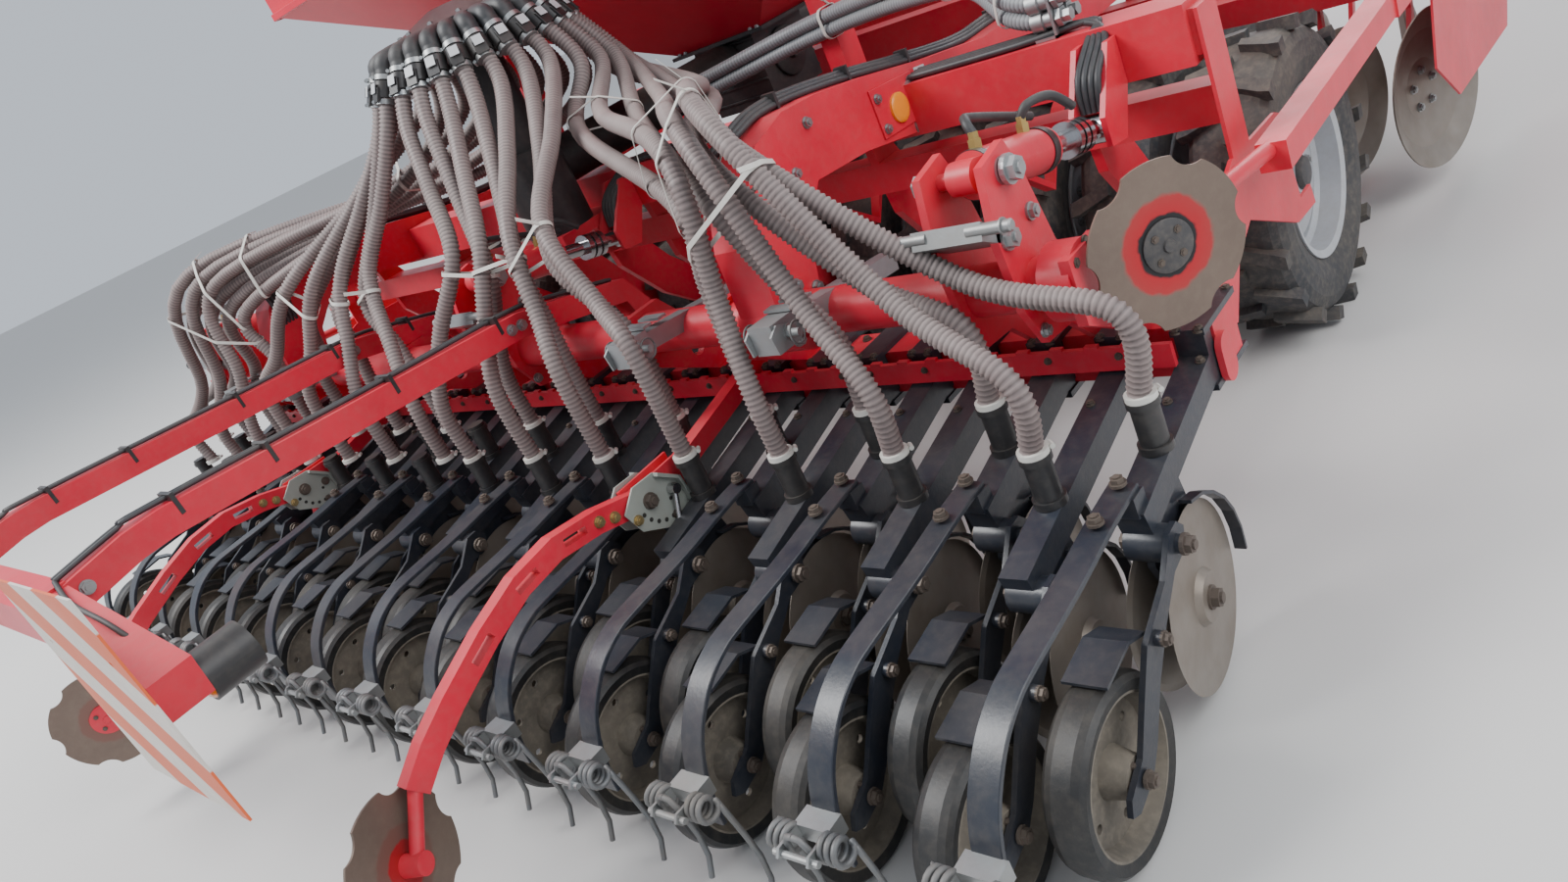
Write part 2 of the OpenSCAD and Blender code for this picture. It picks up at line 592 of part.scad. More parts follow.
module air_duct() color(black) {
    // from the fan under the hopper
    translate([0, fan_y - 360, duct_z]) rotate([90, 0, 0])
        cylinder(r = 75, h = fan_y - 360 - hopper_mid - 140, $fn = 48);
    // from the metering unit back to the tower
    translate([0, hopper_mid - 140, back_duct_z]) rotate([90, 0, 0])
        cylinder(r = 70, h = hopper_mid - 140 + head_back - tower_r + 28, $fn = 48);
}
module distributor() color(black) {
    translate([0, -head_back, 0]) {
        translate([0, 0, 930]) cylinder(r = tower_r, h = 250, $fn = 48);
        translate([0, 0, 1000]) cylinder(r = 72, h = head_z - 1060, $fn = 48);
        translate([0, 0, head_z - 70]) cylinder(r1 = 90, r2 = 180, h = 50, $fn = 64);
        translate([0, 0, head_z - 30]) cylinder(r = 185, h = 60, $fn = 64);
        translate([0, 0, head_z + 30]) cylinder(r1 = 180, r2 = 60, h = 40, $fn = 64);
        for (k = [0:rows / 2 - 1]) for (s = [-1, 1]) rotate([0, 0, s * head_angle(k)]) {
            translate([0, -170, head_z + 8]) rotate([90, 0, 0]) cylinder(r = 17, h = head_r - 170 + 8, $fn = 24);
            translate([0, -head_r, head_z + 8]) rotate([180 - outlet_lean, 0, 0]) cylinder(r = 17, h = 60, $fn = 24);
        }
    }
}
// Angle of outlet k from straight behind, k = 0 the innermost row.
function head_angle(k) = 9 + k * 12.4;

// Seed hoses: right side, k counts from the outermost row
function catmull(p, i, t) = let (a = p[max(i - 1, 0)], b = p[i], c = p[i + 1], d = p[min(i + 2, len(p) - 1)])
    0.5 * (2 * b + (c - a) * t + (2 * a - 5 * b + 4 * c - d) * t * t + (3 * b - a - 3 * c + d) * t * t * t);
hose_steps = 3;
function hose_line(p) = concat([for (i = [0:len(p) - 2]) for (j = [0:hose_steps - 1])
    catmull(p, i, j / hose_steps)], [p[len(p) - 1]]);
elbow_lean = 0;
elbow_d = [0, sin(elbow_lean), cos(elbow_lean)];
function elbow_tip(i) = [row_x(i), elbow_y(i), arm_at(i, elbow_y(i)) + arm_size / 2 + 52] + 52.3 * elbow_d;
outlet_lean = 30;
function outlet_d(k) = let (a = head_angle(k)) [sin(a) * sin(outlet_lean), -cos(a) * sin(outlet_lean), -cos(outlet_lean)];
function outlet_tip(k) = let (a = head_angle(k)) [head_r * sin(a), -head_back - head_r * cos(a), head_z + 8] + 60.3 * outlet_d(k);
// Rows 0 to 6 are tied in one bundle over the main beam's end, rows 7 to 13 in a second one.
function bundle(i) = i < 7 ? 0 : 1;
// Share of the way from a bundle's first row to its last.
function part_of(i) = (i - 7 * bundle(i)) / 6;
function grown(pair, i) = pair[0] + pair[1] * part_of(i);
// Straight run below the outlet: of the bundle's first row, and its growth to the last.
out_run = [[260, -120], [140, 0]];
// Place in the bundle: of the first row, the step from row to row, the shift of odd rows.
tie_at = [[1160, -1340, 1180], [700, -1390, 1020]];
tie_step = [[-40, 0, -15], [-75, 5, -5]];
tie_odd = [[50, -20, 110], [-30, -10, 70]];
// Straight run above the elbow: first row, growth, odd rows more.
in_run = [[240, -10, -90], [210, -90, 40]];
// The slack before the tie: share of the way, outward and upward.
slack_at = [0.35, 0.45];
slack_out = [[190, -320], [20, -20]];
slack_up = [[-100, 60], [-10, 0]];
// The slack after the tie: share of the way and upward.
fall_at = [0.6, 0.6];
fall_up = [[150, -100], [-10, 40]];
function tie_point(i) = let (g = bundle(i)) tie_at[g] + (i - 7 * g) * tie_step[g] + (i % 2) * tie_odd[g];
function hose_points(i) = let (k = rows / 2 - 1 - i, g = bundle(i), a = head_angle(k),
    o = outlet_tip(k), b = o + grown(out_run[g], i) * outlet_d(k), t = tie_point(i), e = elbow_tip(i),
    c = e + (grown(in_run[g], i) + (i % 2) * in_run[g][2]) * elbow_d)
    [o, b,
     b + slack_at[g] * (t - b) + grown(slack_out[g], i) * [sin(a), -cos(a), 0] + [0, 0, grown(slack_up[g], i)],
     t,
     t + fall_at[g] * (c - t) + [0, 0, grown(fall_up[g], i)],
     c, e];
function ring(c, d, r, n) = let (u = unit(cross(d, [0, 0.1, 1])), v = cross(unit(d), u))
    [for (j = [0:n - 1]) c + r * (cos(360 * j / n) * u + sin(360 * j / n) * v)];
module tube(line, r, d0, d1, n = 6) {
    m = len(line);
    pts = [for (i = [0:m - 1]) each ring(line[i],
        i == 0 ? d0 : i == m - 1 ? d1 : line[i + 1] - line[i - 1], r, n)];
    polyhedron(pts, concat([[for (j = [0:n - 1]) j]],
        [for (i = [0:m - 2]) for (j = [0:n - 1]) let (a = i * n + j, b = i * n + (j + 1) % n)
            [a, a + n, b + n, b]],
        [[for (j = [n - 1:-1:0]) (m - 1) * n + j]]));
}
module hoses_right() color([0.36, 0.28, 0.26])
    for (i = [0:rows / 2 - 1]) tube(hose_line(hose_points(i)), hose_d / 2,
        outlet_d(rows / 2 - 1 - i), -elbow_d);
module hoses_left() mirror([1, 0, 0]) hoses_right();

// Front discs
soil_rows = [[760, 1], [1190, -1]];
soil_toe = 16;
soil_shift = 38;
function soil_x(k, s) = (k - (soil_discs - 1) / 2) * soil_pitch + s * soil_shift;
module disc_frame() color(red) {
    for (q = soil_rows) {
        cross_tube(-half_w + 20, half_w - 20, q[0] + 160, 620, 100, 100);
        for (k = [0:soil_discs - 1]) let (x = soil_x(k, q[1])) {
            strip(x - q[1] * 30, [[q[0] + 160, 570], [q[0] + 150, 500], [q[0] + 90, 400],
                [q[0] + 20, soil_z + 30], [q[0], soil_z]], 30, 14);
            rod_x(x - q[1] * 24, q[0], soil_z, 34, 30);
        }
    }
    mirror_x() for (q = soil_rows) side_plate(beam_x, 20, [[q[0] + 110, 660], [q[0] + 210, 660],
        [q[0] + 210, beam_low], [q[0] + 110, beam_low]]);
    // brackets and pins that carry the bout markers
    mirror_x() {
        for (z = [marker_z - 60, marker_z + 46]) translate([half_w - 40, marker_pivot[1] - 40, z])
            cube([110, 80, 14]);
        translate([half_w - 40, marker_pivot[1] - 40, 640]) cube([20, 80, marker_z + 60 - 640]);
        translate([marker_pivot[0], marker_pivot[1], marker_z - 60]) cylinder(r = 16, h = 120, $fn = 32);
    }
}
module front_discs() color([0.45, 0.42, 0.38]) for (q = soil_rows)
    for (k = [0:soil_discs - 1]) translate([soil_x(k, q[1]), q[0], soil_z])
        rotate([0, 0, q[1] * -soil_toe]) rotate([0, q[1] * 90, 0]) rotate_extrude($fn = 72)
            polygon([[0, 0], [90, 0], [170, 14], [soil_disc_r, 42], [soil_disc_r, 47],
                [168, 19], [88, 5], [0, 5]]);

// Drawbar, hitch and jack
hitch_z = 600;
drawbar_slope = atan((860 - hitch_z) / (hitch_front - front_y - 60));
jack = [150, 2500];
jack_r = 36;
module drawbar() color(red) {
    difference() {
        union() {
            translate([-160, front_y, 760]) cube([320, 30, 220]);
            beam(0, [front_y + 20, 860], [hitch_front - 40, hitch_z], 180, 180);
            translate([-160, hitch_front - 70, hitch_z - 80]) cube([320, 70 + yoke_front, 160]);
        }
        rod_x(0, hitch_front, hitch_z, hitch_core_r + fit, 400);
    }
    // braces from the frame's corners
    mirror_x() translate([0, front_y, 905]) rotate([-drawbar_slope, 0, 0])
        linear_extrude(110, center = true) polygon([[60, 830], [88, 970],
            [760, 30], [760, 4], [640, 4]]);
    // jack tube with its bracket
    difference() {
        translate([jack[0], jack[1], 380]) cylinder(r = 45, h = 420, $fn = 48);
        translate([jack[0], jack[1], 370]) cylinder(r = jack_r + fit, h = 420, $fn = 48);
    }
    translate([80, jack[1] - 40, 620]) cube([30, 80, 100]);
}
// Half lengths of the shaft's middle, of its necks' ends and of the whole shaft.
hitch_steps = [170, 205, 500];
module hitch_shaft() color(zinc) {
    rod_x(0, hitch_front, hitch_z, hitch_core_r, 2 * hitch_steps[0]);
    rod_x(0, hitch_front, hitch_z, hitch_r - 2.3, 2 * hitch_steps[1] + 4);
    mirror_x() rod_x((hitch_steps[1] + hitch_steps[2]) / 2, hitch_front, hitch_z, hitch_r,
        hitch_steps[2] - hitch_steps[1]);
}
module jack_leg() color(zinc) {
    translate([jack[0], jack[1], 20]) cylinder(r = jack_r, h = 450, $fn = 48);
    translate([jack[0], jack[1], 0]) cylinder(r = 110, h = 20, $fn = 48);
}

// Light carrier
carrier_x = row_x(10) - row_pitch / 2;
module light_carrier() color(red) {
    mirror_x() strip(carrier_x, [[-1080, bar_z + 50], [-1080, 740], [-1110, 800], [-1439, 879],
        [-2330, 952], [-2400, 950], [-2560, 925]], 60, 60);
    cross_tube(-carrier_x - 22, carrier_x + 22, -2560, 925, 80, 80);
    mirror_x() translate([carrier_x, -2560, 925]) rotate([0, 12, 0]) translate([0, -38, -38])
        cube([480, 76, 76]);
    // feet of the boards
    mirror_x() translate([640, 4 - board_back, 850]) cube([60, 20, 60]);
}
module warning_boards() color([0.85, 0.55, 0.3]) mirror_x()
    translate([600, -board_back, 640]) difference() {
        cube([423, 4, 423]);
        for (p = [60, 363]) translate([p, -1, 300]) rotate([-90, 0, 0]) cylinder(r = 5, h = 6, $fn = 24);
    }
module lamps() color(black) mirror_x() {
    translate([840, -2520, 800]) rotate([-90, 0, 0]) cylinder(r = 45, h = 90, $fn = 48);
    translate([620, -2616, 700]) cube([110, 16, 60]);
}

// Platform with steps
module walkway() color(red) {
    translate([-1150, hopper_mid + hopper_y / 2 + 40, 1240]) difference() {
        cube([2300, 380, 40]);
        for (x = [40:150:2140]) translate([x, 40, -5]) cube([110, 300, 60]);
    }
    mirror_x() translate([1105, 1190, beam_low + beam_h]) cube([40, 60, 242]);
    // ladder
    for (s = [0, 1]) translate([770 + s * 350, front_y, 480]) cube([30, 40, 800]);
    for (z = [500, 740, 1010]) translate([770, front_y + 2, z]) cube([380, 108, 24]);
}

// Bout markers, folded along the sides
marker_pivot = [half_w + 30, 920];
marker_z = 690;
marker_hub = [half_w + 20, -1215, 756];
marker_turn = 37;
marker_disc_r = 145;
marker_n = [cos(marker_turn), -sin(marker_turn), 0];
module marker_arm() color(red) {
    x = marker_pivot[0];
    difference() {
        union() {
            translate([x, marker_pivot[1], marker_z - 45]) cylinder(r = 40, h = 90, $fn = 48);
            beam(x, [marker_pivot[1] - 20, marker_z], [200, 700], 70, 70);
        }
        translate([x, marker_pivot[1], marker_z - 60]) cylinder(r = 16 + fit, h = 120, $fn = 32);
    }
    beam(x, [210, 700], [-700, 690], 60, 60);
    tip = marker_hub - 34 * marker_n;
    rod([x, -560, 690], tip, 17);
    rod(marker_hub - 56 * marker_n, marker_hub - 0.3 * marker_n, 24);
}
module scalloped(r) difference() {
    cylinder(r = r, h = 5, $fn = 72);
    for (a = [0:60:300]) rotate([0, 0, a + 30]) translate([r + 27, 0, 0])
        cylinder(r = 42, h = 20, center = true, $fn = 36);
}
module marker_disc() color([0.42, 0.33, 0.3]) translate(marker_hub)
    rotate([0, 0, -marker_turn]) rotate([0, 90, 0]) scalloped(marker_disc_r);

// Pre-emergence markers
em_x = 858;
em_pivot = [-1640, 516];
em_hub = [em_x, -2454, 291];
em_turn = 25;
em_n = [cos(em_turn), sin(em_turn), 0];
module emergence_arm() color(red) {
    difference() {
        union() {
            strip(em_x, [em_pivot, [-1766, 552], [-1880, 570], [-1987, 560], [-2100, 525],
                [-2224, 474], [-2300, 436], [-2365, 391]], 52, 34);
            rod_x(em_x, em_pivot[0], em_pivot[1], 30, 34);
        }
        for (k = [[-1800, 558, -1860, 567], [-1940, 563, -2000, 556], [-2090, 526, -2150, 503]])
            strip(em_x, [[k[0], k[1]], [k[2], k[3]]], 18, 60);
        rod_x(em_x, em_pivot[0], em_pivot[1], 12 + fit, 60);
    }
    // axle stub beside the disc, and the leg that holds it
    rod(em_hub + 5.3 * em_n, em_hub + 50 * em_n, 22);
    rod([em_x, -2360, 394], em_hub + 30 * em_n, 14);
}
module emergence_disc() color([0.42, 0.33, 0.3]) translate(em_hub)
    rotate([0, 0, em_turn]) rotate([0, 90, 0]) scalloped(marker_disc_r);

place() main_frame();
place() packer_frame();
place() side_shields();
place() drawbar();
place() hitch_shaft();
place() jack_leg();
place() hopper();
place() hopper_lid();
place() metering_unit();
place() fan_housing();
place() fan_impeller();
place() air_duct();
place() distributor();
place() disc_frame();
place() front_discs();
place() light_carrier();
place() warning_boards();
place() lamps();
place() walkway();
place() lock_arms();
place() coulter_bar();
place() coulter_arms();
place() coulter_shoes();
place() opener_discs();
place() seed_elbows();
place() wheel_arms();
place() wheel_scrapers();
place() harrow_bars();
place() harrow_tines();
place() press_tyres(even_rows());  // press_tyres_front
place() press_discs(even_rows());  // press_discs_front
place() press_tyres(odd_rows());  // press_tyres_rear
place() press_discs(odd_rows());  // press_discs_rear
place() lift_barrels();
place() lift_rods();
place() hoses_right();
place() hoses_left();
place() marker_arm();  // marker_arm_right
place() marker_disc();  // marker_disc_right
place() mirror([1, 0, 0]) marker_arm();  // marker_arm_left
place() mirror([1, 0, 0]) marker_disc();  // marker_disc_left
place() emergence_arm();  // emergence_arm_right
place() emergence_disc();  // emergence_disc_right
place() mirror([1, 0, 0]) emergence_arm();  // emergence_arm_left
place() mirror([1, 0, 0]) emergence_disc();  // emergence_disc_left
place() packer_tyres(1);  // packer_tyres_1
place() packer_rims(1);  // packer_rims_1
place() packer_tyres(2);  // packer_tyres_2
place() packer_rims(2);  // packer_rims_2
place() packer_tyres(3);  // packer_tyres_3
place() packer_rims(3);  // packer_rims_3
place() packer_tyres(4);  // packer_tyres_4
place() packer_rims(4);  // packer_rims_4
place() packer_tyres(5);  // packer_tyres_5
place() packer_rims(5);  // packer_rims_5
place() packer_tyres(6);  // packer_tyres_6
place() packer_rims(6);  // packer_rims_6
place() packer_tyres(7);  // packer_tyres_7
place() packer_rims(7);  // packer_rims_7
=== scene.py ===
import math

import bmesh
import bpy
from mathutils import Matrix, Vector


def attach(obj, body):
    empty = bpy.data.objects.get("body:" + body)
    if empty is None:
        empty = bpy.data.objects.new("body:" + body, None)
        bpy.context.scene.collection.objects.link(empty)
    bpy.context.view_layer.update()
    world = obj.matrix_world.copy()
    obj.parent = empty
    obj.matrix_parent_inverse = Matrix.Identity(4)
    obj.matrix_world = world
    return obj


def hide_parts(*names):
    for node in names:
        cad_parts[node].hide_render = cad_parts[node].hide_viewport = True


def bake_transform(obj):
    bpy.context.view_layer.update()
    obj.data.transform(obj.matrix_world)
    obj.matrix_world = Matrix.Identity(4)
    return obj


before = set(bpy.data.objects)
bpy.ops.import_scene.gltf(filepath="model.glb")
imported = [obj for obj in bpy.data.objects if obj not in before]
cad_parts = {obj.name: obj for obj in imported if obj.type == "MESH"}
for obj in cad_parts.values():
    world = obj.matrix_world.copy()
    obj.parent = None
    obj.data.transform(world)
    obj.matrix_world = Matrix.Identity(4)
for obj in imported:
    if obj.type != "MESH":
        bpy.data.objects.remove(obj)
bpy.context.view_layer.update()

# Camera: the photograph is taken from behind the right rear corner, at eye height, looking
# forward and down over the coulters, with the picture rolled to the left.
turn, down, roll = math.radians(48.22), math.radians(23.24), math.radians(-25.03)
ahead = Vector((-math.sin(turn) * math.cos(down), math.cos(turn) * math.cos(down), -math.sin(down)))
level = Vector((math.cos(turn), math.sin(turn), 0))
above = level.cross(ahead)
right = level * math.cos(roll) + above * math.sin(roll)
upper = above * math.cos(roll) - level * math.sin(roll)
camera_data = bpy.data.cameras.new("camera")
camera_data.sensor_width = 36
camera_data.lens = 36 * 1134.6 / 1600
camera_data.clip_end = 200
camera = bpy.data.objects.new("camera", camera_data)
camera.matrix_world = Matrix((right, upper, -ahead)).transposed().to_4x4()
camera.location = (2.7425, -3.166, 1.455)
bpy.context.scene.collection.objects.link(camera)
bpy.context.scene.camera = camera

# Studio: a pale floor, a soft key light from the left, two wide fills and an even sky, as
# a plain stand-in for the overcast yard.
floor_mesh = bpy.data.meshes.new("floor")
floor_mesh.from_pydata([(-40, -40, 0), (40, -40, 0), (40, 40, 0), (-40, 40, 0)], [], [(0, 1, 2, 3)])
floor = bpy.data.objects.new("floor", floor_mesh)
bpy.context.scene.collection.objects.link(floor)
floor_paint = bpy.data.materials.new("floor_paint")
floor_paint.use_nodes = True
floor_paint.node_tree.nodes["Principled BSDF"].inputs["Base Color"].default_value = (0.62, 0.61, 0.59, 1)
floor_paint.node_tree.nodes["Principled BSDF"].inputs["Roughness"].default_value = 0.9
floor_mesh.materials.append(floor_paint)
sky = bpy.data.worlds.new("sky")
bpy.context.scene.world = sky
sky.use_nodes = True
sky.node_tree.nodes["Background"].inputs["Color"].default_value = (0.82, 0.89, 1.0, 1)
sky.node_tree.nodes["Background"].inputs["Strength"].default_value = 0.8
for light_name, place, target, size, power in (
        ("key_light", (-3.5, -5.0, 7.5), (0.3, -1.2, 0.4), 4.0, 950),
        ("fill_light", (6.5, -1.0, 5.0), (0.5, -1.0, 0.4), 5.0, 320),
        ("front_light", (0.5, 7.5, 6.0), (0.0, 0.5, 0.8), 5.0, 450)):
    light_data = bpy.data.lights.new(light_name, "AREA")
    light_data.size = size
    light_data.energy = power
    light = bpy.data.objects.new(light_name, light_data)
    light.matrix_world = (Vector(place) - Vector(target)).to_track_quat("Z", "Y").to_matrix().to_4x4()
    light.location = place
    bpy.context.scene.collection.objects.link(light)

# Red frame parts: welded square tube and plate, painted a deep signal red, with road dust on
# what faces up and small chips that show dark primer and rust.


def add_node(tree, kind, *links, **settings):
    """Adds a node with its settings. Each input gets a value or a link from another node."""
    made = tree.nodes.new(kind)
    for key, value in settings.items():
        setattr(made, key, value)
    for socket, source in links:
        if isinstance(source, bpy.types.NodeSocket):
            tree.links.new(source, made.inputs[socket])
        else:
            made.inputs[socket].default_value = source
    return made


def coat(name, paint, shade, under, dust=0.35, chips=0.3, rough=0.38, metal=0.0, bump=0.15,
         dust_colour=(0.30, 0.25, 0.19)):
    """A painted or bare surface: mottled colour, dust on top faces, chips and fine relief."""
    material = bpy.data.materials.new(name)
    material.use_nodes = True
    tree = material.node_tree
    shader = tree.nodes["Principled BSDF"]
    shader.inputs["Metallic"].default_value = metal
    place = add_node(tree, "ShaderNodeTexCoord").outputs["Object"]
    normal = add_node(tree, "ShaderNodeNewGeometry").outputs["Normal"]

    def noise(scale, detail, offset):
        made = add_node(tree, "ShaderNodeTexNoise", ("Vector", place), ("Scale", scale), ("Detail", detail),
                        ("Roughness", 0.62), ("W", offset), noise_dimensions="4D")
        return made.outputs["Fac"]

    def spread(source, low, high, to_low=0.0, to_high=1.0):
        made = add_node(tree, "ShaderNodeMapRange", ("Value", source), ("From Min", low), ("From Max", high),
                        ("To Min", to_low), ("To Max", to_high))
        return made.outputs["Result"]

    def mix(share, a, b):
        made = add_node(tree, "ShaderNodeMix", ("Factor", share), (6, a), (7, b), data_type="RGBA")
        return made.outputs[2]

    facing = add_node(tree, "ShaderNodeSeparateXYZ", ("Vector", normal)).outputs["Z"]
    patches = spread(noise(4.0, 6, 1.0), 0.38, 0.72, 0.0, dust)
    dusty = add_node(tree, "ShaderNodeMath", (0, patches), (1, spread(facing, -0.2, 0.9, 0.35, 1.0)),
                     operation="MULTIPLY").outputs["Value"]
    grains = spread(noise(55.0, 4, 2.0), 0.45, 0.8, 0.0, dust * 0.6)
    chipped = spread(noise(38.0, 8, 3.0), 0.80 - 0.22 * chips, 0.83 - 0.22 * chips, 0.0,
                     min(1.0, chips * 2.5))
    colour = mix(spread(noise(7.0, 3, 4.0), 0.3, 0.7), (*paint, 1), (*shade, 1))
    for share, cover in ((dusty, dust_colour), (grains, dust_colour), (chipped, under)):
        colour = mix(share, colour, (*cover, 1))
    tree.links.new(colour, shader.inputs["Base Color"])
    tree.links.new(spread(dusty, 0.0, 0.5, rough, min(0.95, rough + 0.4)), shader.inputs["Roughness"])
    relief = add_node(tree, "ShaderNodeBump", ("Strength", bump), ("Distance", 0.002),
                      ("Height", noise(140.0, 5, 5.0)))
    tree.links.new(relief.outputs["Normal"], shader.inputs["Normal"])
    return material


def finish(material, *nodes):
    """Gives CAD nodes their material."""
    for name in nodes:
        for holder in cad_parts[name].material_slots:
            holder.link = "OBJECT"
            holder.material = material


red_paint = coat("red_paint", (0.74, 0.014, 0.045), (0.60, 0.010, 0.034), (0.09, 0.05, 0.04), dust=0.22,
                 chips=0.16)
finish(red_paint, "main_frame", "packer_frame", "side_shields", "drawbar", "disc_frame", "walkway",
       "coulter_bar", "light_carrier", "lift_barrels", "marker_arm_right", "marker_arm_left",
       "emergence_arm_right", "emergence_arm_left")

# Frame bolts: zinc plated hexagon heads with washers where the cross tubes and the rock shaft
# bearings are screwed to the side beams.


def make_tree(name, values, build):
    """A geometry tree with named inputs. build gets a node maker and the input sockets."""
    tree = bpy.data.node_groups.new(name, "GeometryNodeTree")
    tree.interface.new_socket("Geometry", in_out="INPUT", socket_type="NodeSocketGeometry")
    for label, kind, value in values:
        made = tree.interface.new_socket(label, in_out="INPUT", socket_type="NodeSocket" + kind)
        made.default_value = value
    tree.interface.new_socket("Material", in_out="INPUT", socket_type="NodeSocketMaterial")
    tree.interface.new_socket("Geometry", in_out="OUTPUT", socket_type="NodeSocketGeometry")
    put = tree.nodes.new("NodeGroupInput").outputs

    def node(kind, *links, **settings):
        return add_node(tree, kind, *links, **settings)

    whole = node("GeometryNodeRealizeInstances", ("Geometry", build(node, put)))
    skin = node("GeometryNodeSetMaterial", ("Geometry", whole.outputs["Geometry"]),
                ("Material", put["Material"]))
    node("NodeGroupOutput", ("Geometry", skin.outputs["Geometry"]))
    return tree


def grow(name, tree, body, points, edges=(), smooth=False, slot=None, layers=(), **inputs):
    """Runs a tree on a host of points and edges and keeps the result as one plain mesh on a body."""
    host_mesh = bpy.data.meshes.new(name + "_host")
    host_mesh.from_pydata([tuple(p) for p in points], list(edges), [])
    for label, kind, values in layers:
        layer = host_mesh.attributes.new(label, kind, "POINT")
        for k, value in enumerate(values):
            if kind == "FLOAT_VECTOR":
                layer.data[k].vector = value
            else:
                layer.data[k].value = value
    host = bpy.data.objects.new(name + "_host", host_mesh)
    bpy.context.scene.collection.objects.link(host)
    modifier = host.modifiers.new("grow", "NODES")
    modifier.node_group = tree
    for item in tree.interface.items_tree:
        key = item.name.replace(" ", "_").lower()
        if item.in_out == "INPUT" and key in inputs:
            modifier[item.identifier] = inputs[key]
    bpy.context.view_layer.update()
    result = bpy.data.meshes.new_from_object(host.evaluated_get(bpy.context.evaluated_depsgraph_get()))
    bpy.data.objects.remove(host)
    result.name = name
    if smooth:
        result.shade_smooth()
    piece = bpy.data.objects.new(name, result)
    bpy.context.scene.collection.objects.link(piece)
    if body:
        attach(piece, body)
    return piece


def build_bolt(node, put):
    """A hexagon head, the thread's end and a washer, all in sizes for a thread of 1 mm."""
    head, thread, washer = (node("GeometryNodeMeshCylinder", ("Vertices", count),
                                 ("Radius", put[part + " radius"]), ("Depth", put[part + " height"]))
                            for part, count in (("Head", 6), ("Thread", 10), ("Washer", 16)))
    up = node("ShaderNodeCombineXYZ", ("Z", put["Head lift"])).outputs["Vector"]
    joined = node("GeometryNodeJoinGeometry", ("Geometry", washer.outputs["Mesh"]))
    for part in (head, thread):
        raised = node("GeometryNodeTransform", ("Geometry", part.outputs["Mesh"]), ("Translation", up))
        joined.id_data.links.new(raised.outputs["Geometry"], joined.inputs["Geometry"])
    aim = node("GeometryNodeInputNamedAttribute", ("Name", "aim"), data_type="FLOAT_VECTOR")
    size = node("GeometryNodeInputNamedAttribute", ("Name", "size"), data_type="FLOAT")
    turned = node("FunctionNodeAlignRotationToVector", ("Vector", aim.outputs["Attribute"]), axis="Z")
    spots = node("GeometryNodeMeshToPoints", ("Mesh", put["Geometry"]))
    placed = node("GeometryNodeInstanceOnPoints", ("Points", spots.outputs["Points"]),
                  ("Instance", joined.outputs["Geometry"]), ("Rotation", turned.outputs["Rotation"]),
                  ("Scale", size.outputs["Attribute"]))
    return placed.outputs["Instances"]


bolt_tree = make_tree("bolts", [("Head radius", "Float", 0.0009), ("Head height", "Float", 0.00065),
                                ("Head lift", "Float", 0.0005), ("Washer radius", "Float", 0.0011),
                                ("Washer height", "Float", 0.0004), ("Thread radius", "Float", 0.0005),
                                ("Thread height", "Float", 0.0011)], build_bolt)
zinc_plate = coat("zinc_plate", (0.42, 0.44, 0.45), (0.3, 0.31, 0.31), (0.16, 0.09, 0.05), dust=0.35,
                  chips=0.25, rough=0.38, metal=0.85)
rusty_steel = coat("rusty_steel", (0.135, 0.105, 0.088), (0.095, 0.075, 0.062), (0.2, 0.13, 0.09),
                   dust=0.25, chips=0.35, rough=0.55, metal=0.45)


def bolts(name, body, spots, material, slot="zinc"):
    """spots are (place, aim, thread size in millimetres)."""
    return grow(name, bolt_tree, body, [s[0] for s in spots], slot=slot, material=material,
                layers=[("aim", "FLOAT_VECTOR", [s[1] for s in spots]),
                        ("size", "FLOAT", [float(s[2]) for s in spots])])


def at(x, y, z):
    """A place in millimetres from the packer axle, as the part's source gives it, in the frame's metres."""
    return Vector((x / 1000, y / 1000 - 0.295, z / 1000))


def circle(x, y, z, r, count, start=0):
    """Places round an axis along X."""
    angles = [math.radians(start) + 2 * math.pi * k / count for k in range(count)]
    return [(x, y + r * math.cos(a), z + r * math.sin(a)) for a in angles]


beam_out = 1199
rock_y, rock_z = -1291, 750
frame_spots = []
for side in (-1, 1):
    for y in (575, 665, 1375, 1460, -595, -685):
        for z in (880, 970):
            frame_spots.append((at(side * beam_out, y, z + (40 if y < 0 else 0)), (side, 0, 0), 18))
    for spot in circle(1209, rock_y, rock_z, 63, 6, 30):
        frame_spots.append((at(side * spot[0], spot[1], spot[2]), (side, 0, 0), 14))
    for y, z in ((-1150, 1000), (-1060, 1075), (-300, 960), (-60, 960)):
        frame_spots.append((at(side * beam_out, y, z), (side, 0, 0), 12))
bolts("frame_bolts", "frame", frame_spots, zinc_plate)

# Reflector and label: an amber disc on a bolted red plate, and a blank pale label, on the
# outer face of each side beam.


def solid(name, body, material, make, bevel=0.0):
    """A piece made with mesh code in its final place, smooth across its shallow edges."""
    bm = bmesh.new()
    make(bm)
    bmesh.ops.recalc_face_normals(bm, faces=bm.faces)
    mesh = bpy.data.meshes.new(name)
    bm.to_mesh(mesh)
    bm.free()
    mesh.materials.append(material)
    mesh.shade_smooth()
    mesh.set_sharp_from_angle(angle=math.radians(33))
    piece = bpy.data.objects.new(name, mesh)
    bpy.context.scene.collection.objects.link(piece)
    if bevel:
        edge = piece.modifiers.new("edge", "BEVEL")
        edge.width = bevel
        edge.segments = 2
        edge.limit_method = "ANGLE"
    if body:
        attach(piece, body)
    return piece


